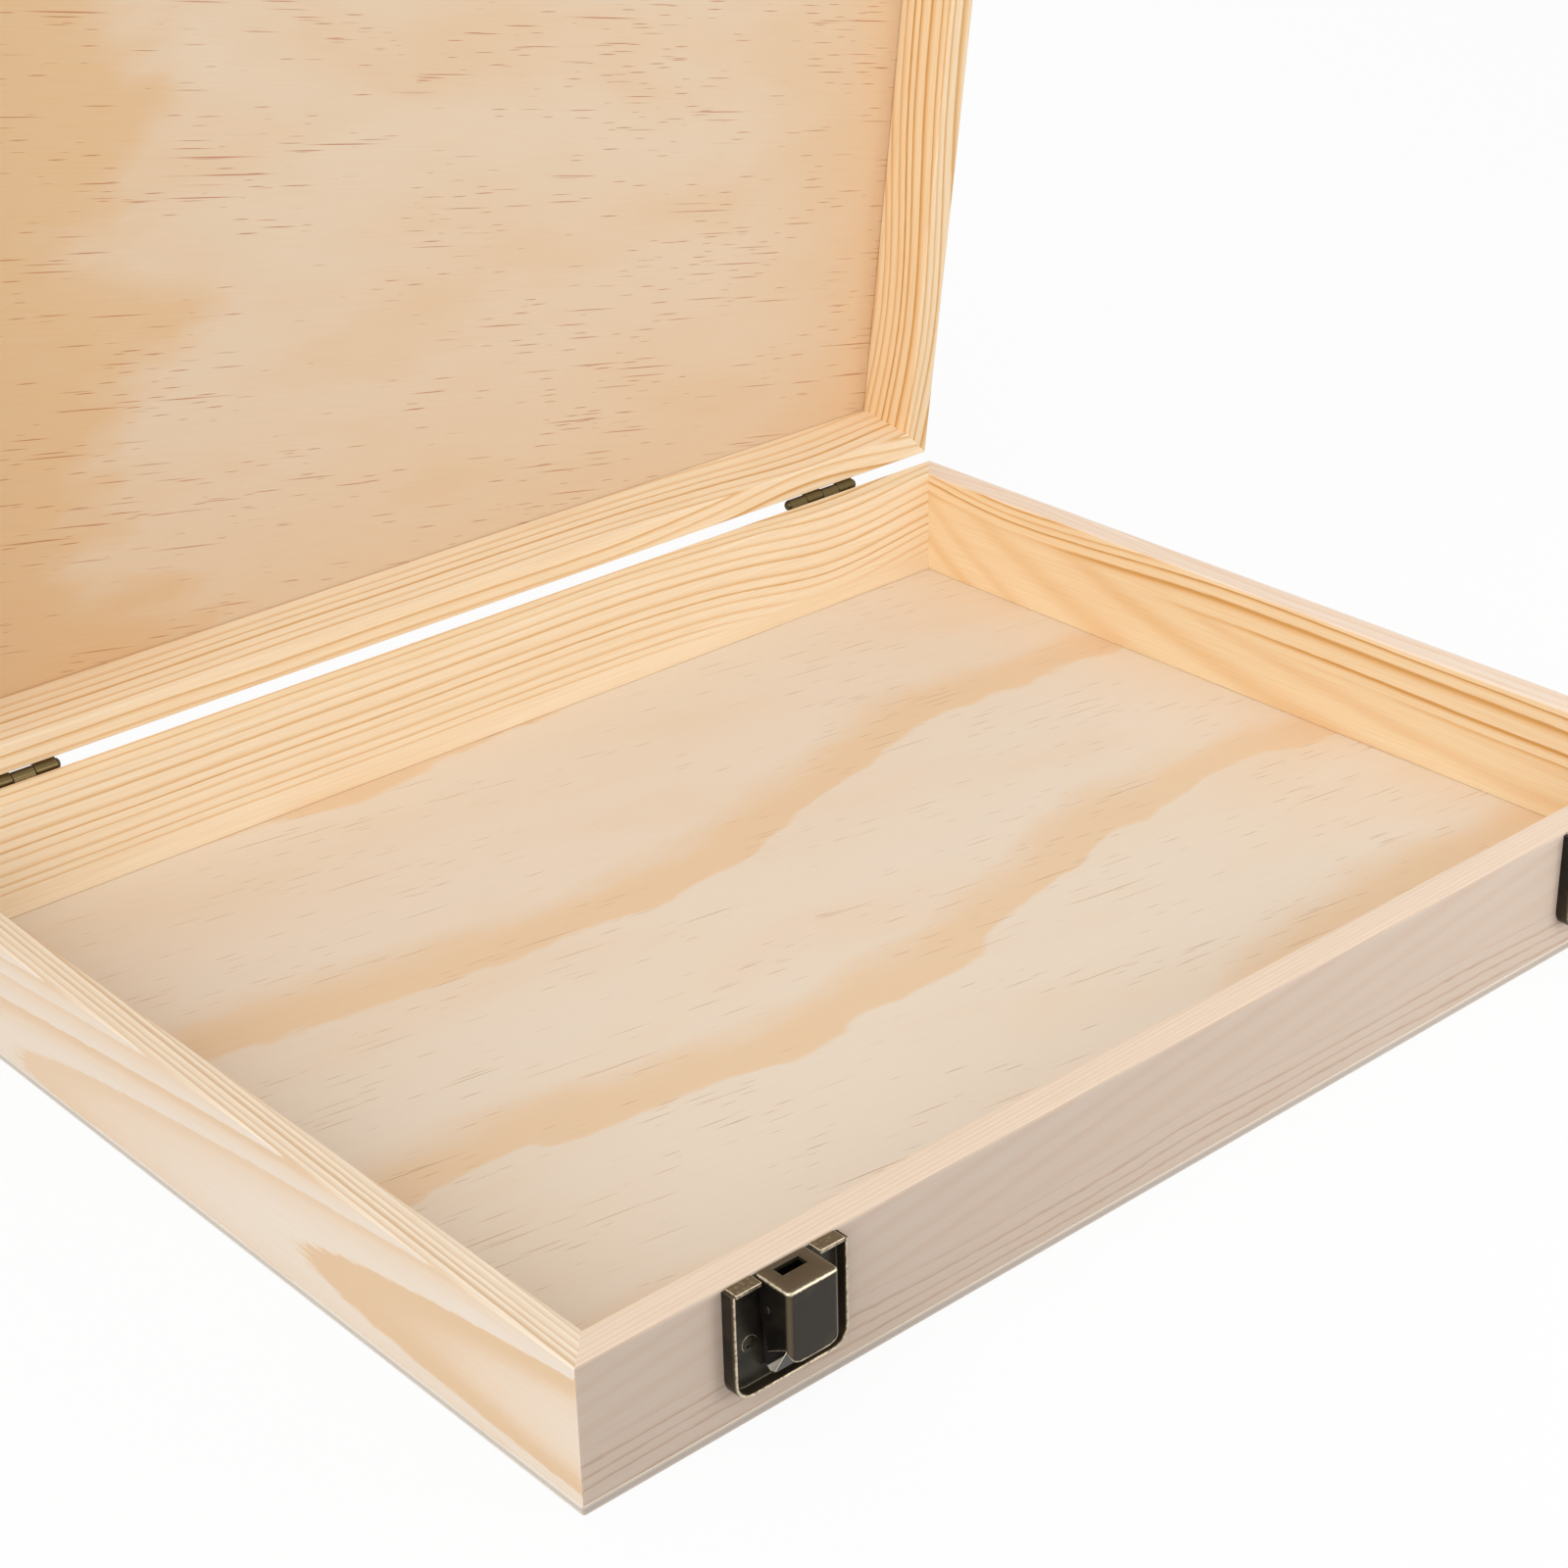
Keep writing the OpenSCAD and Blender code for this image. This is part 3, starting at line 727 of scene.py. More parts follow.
hinge = next(joint for joint in frame["joints"] if joint["name"] == "lid_hinge")
axis_y, axis_z = (value / MM for value in hinge["pos_m"][1:])
leaf_low, leaf_high = corners_mm("left_hinge_base_leaf")
hinge_length = leaf_high[0] - leaf_low[0]
barrel_r = leaf_high[1] - axis_y
leaf_back = leaf_low[1] - axis_y
leaf_reach = axis_z - leaf_low[2]
leaf_top = barrel_r + KNUCKLE_GAP


def curl_outline():
    """Section of one knuckle about the hinge's axis: a strip that rises off the leaf, then turns round
    the pin from the wall side over the top until it nearly meets itself again."""
    turn = np.linspace(math.pi, -math.pi / 2 - CURL_OPENING, CURL_STEPS)
    circle = np.stack([np.cos(turn), np.sin(turn)], -1)
    inner = (barrel_r - LEAF_THICKNESS + CURL_PLAY) * circle
    leaf_front = leaf_back + LEAF_THICKNESS
    foot = np.array([[leaf_back, -leaf_top - CURL_LAP], [leaf_back, -CURL_START[0]]])
    heel = np.array([[leaf_front, -CURL_START[1]], [leaf_front, -leaf_top - CURL_LAP]])
    return np.vstack([foot, barrel_r * circle, inner[::-1], heel])


def hinge_half(first):
    """One hinge half about its own axis, leaf hanging down: every second knuckle, then the leaf."""
    pitch = hinge_length / KNUCKLE_COUNT
    parts = []
    for index in range(first, KNUCKLE_COUNT, 2):
        start = index * pitch - hinge_length / 2 + KNUCKLE_GAP / 2
        points, faces = prism(curl_outline(), start, start + pitch - KNUCKLE_GAP)
        parts.append((points, faces, metal(points, KNUCKLE_WEAR, KNUCKLE_TONE)))
    radii = [LEAF_TOP_R, LEAF_TOP_R, LEAF_CORNER_R, LEAF_CORNER_R]
    loops, wear = plate((-hinge_length / 2, -leaf_reach), (hinge_length / 2, -leaf_top), LEAF_THICKNESS,
                        radii, LEAF_EASE)
    points, faces = closed_loft(loops[..., [0, 2, 1]])
    parts.append((points + np.array([0, leaf_back, 0]), faces, metal(points, LEAF_WEAR * wear, LEAF_TONE)))
    return join(parts)


def middle_of(part):
    """Half way along a node, in x."""
    low, high = corners_mm(part)
    return (low[0] + high[0]) / 2


def hinge_place(hand):
    """Middle of a hinge on its axis."""
    return np.array([middle_of(f"{hand}_hinge_pin"), axis_y, axis_z])


hinge_bronze = bronze("hinge_bronze", ((84, 74, 52), (122, 106, 70), (214, 190, 140)), metallic=1.0)
for hand in HANDS:
    points, faces, wear = hinge_half(first=0)
    piece = put(f"{hand}_base_leaf", points + hinge_place(hand), faces, hinge_bronze, wear=wear)
    soften(piece, HINGE_BEVEL)
    fix(piece, "tray", f"{hand}_hinge_base_leaf")


# Hinge pins. A steel pin, plated with the hinge, runs through the knuckles of both leaves, and its
# domed ends stand out of the barrel.

PIN_R = 0.75
PIN_HEAD_L = 0.9
PIN_HEAD_R = 1.35
PIN_WEAR = 0.1
DOME_END = math.radians(78)


def turned(profile, around=32):
    """Loops of a turned shape about x: rows of a place along x and a radius."""
    angle = np.linspace(0, 2 * math.pi, around, endpoint=False)
    circle = np.stack([np.zeros(around), np.cos(angle), np.sin(angle)], -1)
    return circle * profile[:, 1, None, None] + np.array([1, 0, 0]) * profile[:, 0, None, None]


def dome(start, length, radius):
    """Rows of place and radius of a domed end: a quarter of an ellipse, cut off just before its tip."""
    turn = np.linspace(0, DOME_END, 7)
    return np.stack([start + length * np.sin(turn), radius * np.cos(turn)], -1)


def mirror_ends(half):
    """The rows of one half, from the middle out, with the same rows in reverse for the other half."""
    return np.vstack([half[::-1] * np.array([-1, 1]), half])


for hand in HANDS:
    low, high = corners_mm(f"{hand}_hinge_pin")
    neck = (high[0] - low[0]) / 2 - PIN_HEAD_L
    rows = np.vstack([[neck, PIN_R], dome(neck, PIN_HEAD_L, PIN_HEAD_R)])
    points, faces = closed_loft(turned(mirror_ends(rows)))
    wear = metal(points, PIN_WEAR, tone=0.0)
    piece = put(f"{hand}_pin", points + hinge_place(hand), faces, hinge_bronze, wear=wear)
    fix(piece, "tray", f"{hand}_hinge_pin")


# Screws of the tray's hinge leaves. Small countersunk wood screws with a cross recess, plated with
# the hinges, two through each leaf into the back wall.

SCREW_LENGTH = 6.2
SCREW_POINT = 1.6
SCREW_TIP_R = 0.1
SCREW_SHANK_R = 0.9
SCREW_HEAD_R = 1.7
SCREW_SINK = 0.8
SCREW_RIM = 0.06
SCREW_DOME = 0.22
SCREW_STEPS = 64
SCREW_TONE = 0.2
# How far the head draws in just under and just over its rim, and shares of the dome's rise and of the
# head's radius on its crown.
SCREW_RIM_EASE = (0.03, 0.05)
SCREW_CROWN = ((0.6, 0.85), (1.0, 0.68))
# How far a screw's circles are rubbed, from the tip to the head, and then the recess and its floor.
SCREW_WEAR = (0.0, 0.0, 0.0, 0.2, 0.7, 0.6, 0.2, 0.1, 0.3, 0.0)
RECESS_ARM = 1.0
RECESS_HALF_WIDTH = 0.25
RECESS_DEPTH = 0.5
RECESS_TAPER = 0.85
HINGE_SCREW_X = 6.5
HINGE_SCREW_DROP = 5.575


def screw():
    """Points, faces and wear of one screw that points down z with its rim at z = 0: circles from the tip
    up to the domed head, then a cross-shaped loop and the same loop sunk into the head. The cross's
    radius at each angle is the longer of its two arms' reach there."""
    angle = np.linspace(0, 2 * math.pi, SCREW_STEPS, endpoint=False)
    cosine, sine = np.abs(np.cos(angle)) + 1e-9, np.abs(np.sin(angle)) + 1e-9
    level = np.minimum(RECESS_ARM / cosine, RECESS_HALF_WIDTH / sine)
    upright = np.minimum(RECESS_ARM / sine, RECESS_HALF_WIDTH / cosine)
    cross = np.maximum(level, upright)
    under, over = SCREW_RIM_EASE
    rows = np.array([
        (-SCREW_LENGTH, SCREW_TIP_R), (SCREW_POINT - SCREW_LENGTH, SCREW_SHANK_R),
        (-SCREW_SINK, SCREW_SHANK_R), (-SCREW_RIM, SCREW_HEAD_R - under), (0.0, SCREW_HEAD_R),
        (SCREW_RIM, SCREW_HEAD_R - over),
        *((rise * SCREW_DOME, share * SCREW_HEAD_R) for rise, share in SCREW_CROWN)])
    circles = np.repeat(rows[:, 1:], SCREW_STEPS, 1)
    radius = np.vstack([circles, cross, RECESS_TAPER * cross])
    height = np.r_[rows[:, 0], SCREW_DOME, SCREW_DOME - RECESS_DEPTH]
    upward = np.repeat(height[:, None], SCREW_STEPS, 1)
    points, faces = closed_loft(np.stack([radius * np.cos(angle), radius * np.sin(angle), upward], -1))
    return points, faces, metal(points, np.repeat(SCREW_WEAR, SCREW_STEPS), SCREW_TONE)


def screws_along(places, outward, turns):
    """One shape of several screws: each rim's middle, all facing along y by the sign of outward, each
    turned by its own angle in degrees."""
    parts = []
    for place, degrees in zip(places, turns):
        points, faces, wear = screw()
        turn = math.radians(degrees)
        across = points[:, 0] * math.cos(turn) - points[:, 1] * math.sin(turn)
        upward = points[:, 0] * math.sin(turn) + points[:, 1] * math.cos(turn)
        parts.append((np.stack([across, outward * points[:, 2], upward], -1) + place, faces, wear))
    return join(parts)


leaf_face = leaf_back + LEAF_THICKNESS
hinge_screw_places = np.array([
    hinge_place(hand) + np.array([side * HINGE_SCREW_X, leaf_face, -HINGE_SCREW_DROP])
    for hand in HANDS for side in (-1, 1)
])
points, faces, wear = screws_along(hinge_screw_places, outward=1, turns=(20, 65, 8, 40))
piece = put("base_leaf_screws", points, faces, hinge_bronze, wear=wear)
fix(piece, "tray", "hinge_base_screws")


# Latch plates. Each is a shallow tray pressed out of sheet metal and plated antique bronze, open at
# the box's rim, with a tab turned over at each side of the lever and two ears that hold the lever's
# pin. Two screws hold it on the front wall.

PLATE_DEPTH = 3.0
PLATE_SHEET = 0.8
PLATE_CORNER_R = 4.0
PLATE_LIP_R = 0.35
PLATE_FILLET = 0.4
PLATE_FLOOR_INSET = 2.0
PLATE_TOP_DROP = 0.35
PLATE_TOP_STRIP = 0.5
# How far the outer half of a pressed lip is rubbed to brass, partly wear and partly a painted highlight
# along its outer edge, and how warm the lip is and the fillet inside it.
LIP_WEAR_AND_HIGHLIGHT = (0.1, 0.35, 0.62, 0.72)
LIP_TONE = 0.7
FILLET_TONE = (0.6, 0.4, 0.2, 0.0)
TAB_INNER = 6.5
TAB_EASE = 0.12
TAB_CORNER_R = 0.3
TAB_LAP = 0.05
TAB_WEAR = (0.38, 0.8)
TAB_TONE = 1.0
EAR_X = (3.85, 4.65)
EAR_R = 1.8
EAR_TIP_R = 1.75
EAR_EASE = 0.1
EAR_ROOT_R = 0.3
EAR_WEAR = 0.3
WELD = 0.3
PIVOT_OUT = 3.0
PIVOT_DROP = 6.0

latch_bronze = bronze("latch_bronze", ((41, 38, 34), (104, 90, 68), (216, 200, 172)), metallic=0.75)


def pressed_tray(width, height, depth, top):
    """Points, faces and wear of a pressed tray: x, place out of the wall and height below the rim. A lip
    profile, given as inset and depth, is carried down one side, round the lower corners and up the other;
    flat faces close the floor, the back and the open top."""
    turn = quarter_turn(len(LIP_WEAR_AND_HIGHLIGHT))
    rise, fall = 1 - np.cos(turn), 1 - np.sin(turn)
    lip_in, lip_out = PLATE_LIP_R * rise, depth - PLATE_LIP_R * fall
    fillet_in, fillet_out = PLATE_SHEET + PLATE_FILLET * rise, PLATE_SHEET + PLATE_FILLET * fall
    inset = np.r_[0, 0, lip_in, PLATE_SHEET - lip_in[::-1], fillet_in, PLATE_FLOOR_INSET]
    out = np.r_[0, depth - 2 * PLATE_LIP_R, lip_out, lip_out[::-1], fillet_out, PLATE_SHEET]
    # The lip's brass is partly wear and partly a painted highlight along its outer edge.
    wear = np.r_[0, 0, LIP_WEAR_AND_HIGHLIGHT, LIP_WEAR_AND_HIGHLIGHT[::-1], np.zeros(len(turn) + 1)]
    tone = np.r_[0, 0, np.full(2 * len(turn), LIP_TONE), FILLET_TONE, 0]
    half, drop = width / 2 - PLATE_CORNER_R, height - PLATE_CORNER_R
    bend = np.linspace(math.pi, 1.5 * math.pi, 9)
    centre = np.broadcast_to((-half, -drop), (len(bend), 2))
    corner = np.column_stack([centre, np.cos(bend), np.sin(bend)])
    side = np.array([
        [-half, -top, -1, 0], [-half, -top - PLATE_TOP_STRIP, -1, 0], [-half, -drop / 2, -1, 0],
    ])
    left = np.vstack([side, corner])
    path = np.vstack([left, left[::-1] * np.array([-1, 1, -1, 1])])
    flat = path[:, :2] + path[:, 2:] * (PLATE_CORNER_R - inset[:, None, None])
    rows, columns = flat.shape[:2]
    deep = np.broadcast_to(out[:, None, None], (rows, columns, 1))
    points = np.concatenate([flat[..., :1], deep, flat[..., 1:]], -1).reshape(-1, 3)
    faces = grid_faces(rows, columns, wrap=False)
    first = np.arange(rows) * columns
    faces.append(list(range((rows - 1) * columns, rows * columns)))
    faces.append(list(range(columns)))
    faces.append(first.tolist() + (first + columns - 1)[::-1].tolist())
    return points, faces, metal(points, np.repeat(wear, columns), np.repeat(tone, columns))


def tab(start, end):
    """Points, faces and wear of a flat tab level with the rim, between two places in x."""
    loops, wear = plate((start, 0), (end, PLATE_DEPTH), PLATE_SHEET, [TAB_CORNER_R] * 4, TAB_EASE)
    points, faces = closed_loft(loops)
    least, most = TAB_WEAR
    rubbed = np.maximum(most * wear, least)
    return points - np.array([0, 0, PLATE_SHEET]), faces, metal(points, rubbed, TAB_TONE)


def ear(start, end):
    """Points, faces and wear of one ear: a half round plate on edge about the lever's pin."""
    low = (PLATE_SHEET - WELD, -PIVOT_DROP - EAR_R)
    high = (PIVOT_OUT + EAR_R, -PIVOT_DROP + EAR_R)
    radii = [EAR_TIP_R, EAR_ROOT_R, EAR_ROOT_R, EAR_TIP_R]
    loops, wear = plate(low, high, end - start, radii, EAR_EASE)
    points, faces = closed_loft(loops[..., [2, 0, 1]])
    return points + np.array([start, 0, 0]), faces, metal(points, EAR_WEAR * wear, tone=0.0)


def on_front(points, x):
    """Points from x, place out of the wall and height over the rim into the box's frame."""
    return points * np.array([1, -1, 1]) + np.array([x, front_face, rim_height])


for hand in HANDS:
    low, high = corners_mm(f"{hand}_latch_plate")
    width, _, height = high - low
    tab_end = width / 2 - PLATE_SHEET + TAB_LAP
    points, faces, wear = join([
        pressed_tray(width, height, PLATE_DEPTH, top=PLATE_TOP_DROP),
        tab(-tab_end, -TAB_INNER), tab(TAB_INNER, tab_end),
        ear(EAR_X[0], EAR_X[1]), ear(-EAR_X[1], -EAR_X[0]),
    ])
    points = on_front(points, middle_of(f"{hand}_latch_plate"))
    piece = put(f"{hand}_plate", points, faces, latch_bronze, wear=wear)
    fix(piece, "tray", f"{hand}_latch_plate")


# Latch pins. A short steel pin, plated with the latch, goes through both ears of the plate and is
# riveted over at its ends. The lever hangs on it.

PIVOT_R = 0.8
PIVOT_DOME = 0.25
PIVOT_WEAR = 0.2
PIVOT_TONE = 0.2

for hand in HANDS:
    low, high = corners_mm(f"{hand}_latch_pin")
    half = (high[0] - low[0]) / 2
    rows = mirror_ends(dome(half - PIVOT_DOME, PIVOT_DOME, PIVOT_R))
    points, faces = closed_loft(turned(rows, around=24))
    wear = metal(points, PIVOT_WEAR, PIVOT_TONE)
    points = on_front(points + np.array([0, PIVOT_OUT, -PIVOT_DROP]), middle_of(f"{hand}_latch_pin"))
    piece = put(f"{hand}_lever_pin", points, faces, latch_bronze, wear=wear)
    fix(piece, "tray", f"{hand}_latch_pin")


# Latch springs. A strip of spring steel lies on the plate, turns round at the bottom and leans out against
# the inside of the lever's front. Its outside is painted dark as shade and the inside of its bend painted
# bright as light, with a painted highlight along the outside of the bend.

SPRING_THICKNESS = 0.35
SPRING_LEG_TOP = -8.05
SPRING_BEND_R = 1.7
SPRING_BEND_OUT = 2.5
SPRING_BEND_DROP = 18.0
SPRING_LEAN = math.radians(28)
SPRING_TIP_DROP = 11.8
SPRING_BEND_STEPS = 20
# Where the painted highlight runs round the outside of the bend and how wide it is, and from where along
# the bend, and how strongly, the inner side is painted light.
SPRING_HIGHLIGHT = math.radians(307)
SPRING_HIGHLIGHT_WIDTH = math.radians(8)
SPRING_LIGHT_FROM = math.radians(225)
SPRING_LIGHT = 0.9
# Two places, from the rim out, between which the strip goes over from the plate to the lever; they are
# worked out for each spring but not used.
SPRING_FOLLOWS = ((0, 2.2, -15.0), (0, 7.2, -15.0))
STEEL_MARKS = (0.6, 6.0, 6.0)
STEEL_MOTTLE = 0.3
STEEL_ROUGH = 0.4
MARK_ROUGH = 0.2
STEEL_BUMP = 0.0006
STEEL_METALLIC = 0.1


def steel(name, painted_shade, bright):
    """Spring steel in a dark tone of painted shade, going over to a light tone of painted light where its
    own field is high, with fine marks across.
    """
    material = empty_material(name)
    tree = material.node_tree
    marks = noise(place_mm(tree), STEEL_MARKS, detail=3.0)
    share = (marks - 0.5) * STEEL_MOTTLE + attribute(tree, "bright", "Fac")
    colour = blend(share, paint(*painted_shade), paint(*bright))
    roughness = marks * MARK_ROUGH + STEEL_ROUGH
    return finish_surface(material, colour, roughness, marks, STEEL_BUMP, STEEL_METALLIC)


def spring_outline():
    """Closed outline of the strip, as place out of the wall and height, and how much painted light it has
    there. Its middle line goes down the leg, round the bend and up the leaning blade, and half the
    thickness is added on both sides. The inner side is painted bright as light, and a line along the
    outside of the bend is a painted highlight."""
    middle_r = SPRING_BEND_R - SPRING_THICKNESS / 2
    centre = np.array([SPRING_BEND_OUT, -SPRING_BEND_DROP])
    turn = np.linspace(math.pi, 2 * math.pi - SPRING_LEAN, SPRING_BEND_STEPS)
    bend = centre + middle_r * np.stack([np.cos(turn), np.sin(turn)], -1)
    leg = np.array([[SPRING_BEND_OUT - middle_r, SPRING_LEG_TOP]])
    rise = -SPRING_TIP_DROP - bend[-1, 1]
    tip = bend[-1] + rise * np.array([math.tan(SPRING_LEAN), 1.0])
    middle = np.vstack([leg, bend, tip])
    heading = np.gradient(middle, axis=0)
    heading[0], heading[-1] = (0, -1), (math.sin(SPRING_LEAN), math.cos(SPRING_LEAN))
    heading /= np.linalg.norm(heading, axis=1, keepdims=True)
    aside = heading[:, ::-1] * np.array([1, -1]) * SPRING_THICKNESS / 2
    # Painted highlight along the outside of the bend, and painted light on the inner side.
    outside = np.r_[0, np.exp(-((turn - SPRING_HIGHLIGHT) / SPRING_HIGHLIGHT_WIDTH) ** 2), 0]
    inside = SPRING_LIGHT * np.r_[1, turn[::-1] > SPRING_LIGHT_FROM, 0]
    return np.vstack([middle + aside, (middle - aside)[::-1]]), np.r_[outside, inside]


# The dark tone is painted shade on the outside of the strip, and the light tone is painted light on its
# inside.
spring_steel = steel("spring_steel", (38, 37, 36), (250, 240, 222))
for hand in HANDS:
    low, high = corners_mm(f"{hand}_latch_spring")
    half = (high[0] - low[0]) / 2
    x = middle_of(f"{hand}_latch_spring")
    outline, bright = spring_outline()
    points, faces = prism(outline, -half, half)
    piece = put(f"{hand}_spring", on_front(points, x), faces, spring_steel, bright=np.tile(bright, 2))
    start, end = on_front(np.array(SPRING_FOLLOWS), x) * MM
    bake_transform(piece)
    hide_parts(f"{hand}_latch_spring")


# Latch levers. Each is folded from one piece of sheet metal and plated with its plate: a front with
# round lower corners, two cheeks on the pin, and a top with a slot that the catch's hook drops into.

LEVER_SHEET = 0.8
LEVER_BEVEL = 0.1
LEVER_TOP_BEND = 0.6
LEVER_TOP_FLAT = 0.35
LEVER_EDGE_R = 1.0
LEVER_LOWER_R = 2.8
LEVER_TOP_GAP = 0.25
CHEEK_GAP = 1.05
CHEEK_STRAIGHT = 6.0
CHEEK_SLANT = math.tan(math.radians(13))
CHEEK_DROP = 2.7
SLOT_HALF = (2.8, 1.2)
SLOT_OUT = 2.7
# Columns along a cheek and across the front, and rows up to the top bend, as shares of each length. Two
# columns of the cheek, left at 0 here, go to the slot's corners.
CHEEK_SHARES = (0, 0.06, 0.2, 0, 0.6, 0.8, 0, 1.0)
SLOT_COLUMNS = [3, 6]
FRONT_SHARES = (-0.93, *np.linspace(-0.7, 0.7, 7), 0.93)
ROW_SHARES = (0, 0.03, 0.2, 0.4, 0.6, 0.8, 0.96)
# How far each row is rubbed to brass and how warm it is, from the lower edge to the slot.
LEVER_WEAR = (0.9, 0.1, 0.0, 0.0, 0.0, 0.0, 0.0, 0.5, 0.8, 0.8, 0.4, 0.1, 0.0, 0.3)
LEVER_TONE = (0.0, 0.0, 0.0, 0.0, 0.0, 0.0, 0.0, 0.2, 0.5, 0.8, 0.9, 0.9, 0.8, 0.5)
LEVER_CORNER_TONE = 1.6
LEVER_FRONT_TONE = 0.1


def lever_skin(width, out, height):
    """Outer skin of a lever: x, place out of the wall and height below the rim. Columns run from the back
    of the left cheek round the front to the back of the right cheek. Rows run from the lower edge up,
    over the bend at the top and in to the slot, where each column meets the slot's edge along its line
    to the slot's middle. The lower edge turns up by an arc at both sides of the front."""
    half = width / 2
    front = out - LEVER_EDGE_R
    top_inset = LEVER_TOP_BEND + LEVER_TOP_FLAT
    corner_reach = SLOT_HALF[1] / SLOT_HALF[0] * (half - top_inset)
    cheek = np.array(CHEEK_SHARES)
    to_corners = front - SLOT_OUT - np.array([corner_reach, -corner_reach])
    cheek[SLOT_COLUMNS] = to_corners / (front - LEVER_TOP_GAP)
    turn = np.linspace(math.pi, math.pi / 2, 6)
    plain = np.array(FRONT_SHARES) * (half - LEVER_EDGE_R)
    left_x = np.full(len(cheek) + len(turn), LEVER_EDGE_R - half)
    reach_x = np.r_[np.full(len(cheek), -1.0), np.cos(turn)]
    reach_out = np.r_[np.zeros(len(cheek)), np.sin(turn)]
    base_x = np.r_[left_x, plain, -left_x]
    pull_x = np.r_[reach_x, np.zeros(len(plain)), -reach_x[::-1]]
    pull_out = np.r_[reach_out, np.ones(len(plain)), reach_out[::-1]]
    share = np.r_[cheek[::-1], np.zeros(len(plain) + 2 * len(turn)), cheek]
    bend = quarter_turn(5)
    inset = np.r_[np.zeros(len(ROW_SHARES)), LEVER_TOP_BEND * (1 - np.cos(bend)), top_inset]
    pull = (LEVER_EDGE_R - inset)[:, None]
    x = base_x + pull_x * pull
    past = np.maximum(np.abs(x[0]) - (half - LEVER_LOWER_R), 0)
    rise = LEVER_LOWER_R - np.sqrt(np.maximum(LEVER_LOWER_R ** 2 - past ** 2, 0))
    lowest = rise - height - CHEEK_DROP * share
    face_z = lowest + (-LEVER_TOP_BEND - lowest) * np.array(ROW_SHARES)[:, None]
    top_z = np.r_[LEVER_TOP_BEND * (np.sin(bend) - 1), 0]
    z = np.vstack([face_z, np.repeat(top_z[:, None], len(base_x), 1)])
    cheek_back = CHEEK_GAP + CHEEK_SLANT * np.maximum(-z - CHEEK_STRAIGHT, 0)
    over = np.clip((z + LEVER_TOP_BEND) / LEVER_TOP_BEND, 0, 1)
    back = cheek_back + (LEVER_TOP_GAP - CHEEK_GAP) * over
    place = front + (back - front) * share + pull_out * pull
    skin = np.stack([x, place, z], -1)
    slot_middle = np.array([0, SLOT_OUT])
    to_slot = skin[-1, :, :2] - slot_middle
    scale = np.min(np.array(SLOT_HALF) / np.maximum(np.abs(to_slot), 1e-6), axis=1)
    slot = np.concatenate([slot_middle + to_slot * scale[:, None], np.zeros((len(scale), 1))], -1)
    points = np.vstack([skin.reshape(-1, 3), slot])
    rows, columns = skin.shape[:2]
    faces = grid_faces(rows, columns, wrap=False)
    faces += (np.array(grid_faces(2, columns, wrap=True)) + (rows - 1) * columns).tolist()
    corner = np.abs(pull_x) * pull_out * LEVER_CORNER_TONE
    tone = np.maximum(np.array(LEVER_TONE)[:, None], np.maximum(corner, LEVER_FRONT_TONE * pull_out))
    return points, faces, metal(points, np.repeat(LEVER_WEAR, columns), tone.ravel())


for hand in HANDS:
    low, high = corners_mm(f"{hand}_latch_lever")
    width, _, height = high - low
    points, faces, wear = lever_skin(width, front_face - low[1], height)
    points = on_front(points, middle_of(f"{hand}_latch_lever"))
    piece = put(f"{hand}_latch", points, faces, latch_bronze, closed=False, wear=wear)
    sheet = piece.modifiers.new("sheet", "SOLIDIFY")
    sheet.thickness = LEVER_SHEET * MM
    sheet.offset = -1.0
    sheet.use_even_offset = True
    soften(piece, LEVER_BEVEL)
    fix(piece, f"{hand}_lever", f"{hand}_latch_lever")


# Screws of the latch plates. The same countersunk screws, plated with the latches, one at each side
# of the lever through the plate into the front wall.

PLATE_SCREW_X = 7.9
PLATE_SCREW_DROP = 13.0

plate_screw_places = np.vstack([
    on_front(np.array([[side * PLATE_SCREW_X, PLATE_SHEET, -PLATE_SCREW_DROP]]),
             middle_of(f"{hand}_latch_plate"))
    for hand in HANDS for side in (-1, 1)
])
points, faces, wear = screws_along(plate_screw_places, outward=-1, turns=(35, 10, 50, 75))
piece = put("plate_screws", points, faces, latch_bronze, wear=wear)
fix(piece, "tray", "latch_plate_screws")


# Lid walls. The upper strip of the same four boards, sawn off when the box was glued up, and drawn
# here shut, then swung open about the hinge.

open_angle = math.radians(hinge["range_deg"][0])


def swing(points, angle):
    """Points turned about the hinge's axis, anticlockwise seen from the right."""
    y, z = points[:, 1] - axis_y, points[:, 2] - axis_z
    turned_y = y * math.cos(angle) - z * math.sin(angle)
    turned_z = y * math.sin(angle) + z * math.cos(angle)
    return np.stack([points[:, 0], turned_y + axis_y, turned_z + axis_z], -1)


def shut_corners(part):
    """Lowest and highest corner, in millimetres, of a node of the lid once the lid is shut."""
    mesh = frame["nodes"][part].data
    place = np.empty(len(mesh.vertices) * 3, np.float32)
    mesh.vertices.foreach_get("co", place)
    shut = swing(place.reshape(-1, 3) / MM, -open_angle)
    return shut.min(0), shut.max(0)


def opened(points):
    """Points of the shut lid where they are in the frame's rest pose."""
    return swing(points, open_angle)


lid_low, lid_high = shut_corners("lid_front_wall")
for side in SIDES:
    points, faces, grain = side_board(side, lid_low[2], lid_high[2])
    piece = put(f"lid_{side}_board", opened(points), faces, PINE[side], grain=grain)
    fix(piece, "lid", f"lid_{side}_wall")


# Lid panel. A sheet of the same three-ply plywood, glued on top of the lid's frame and sanded flush,
# with more and longer flecks and a honey tone towards its ends; at the right end that tone is partly
# painted bounce light from the lid's right wall.

HONEY_FINGERS = (0.018, 0.04, 0.0)
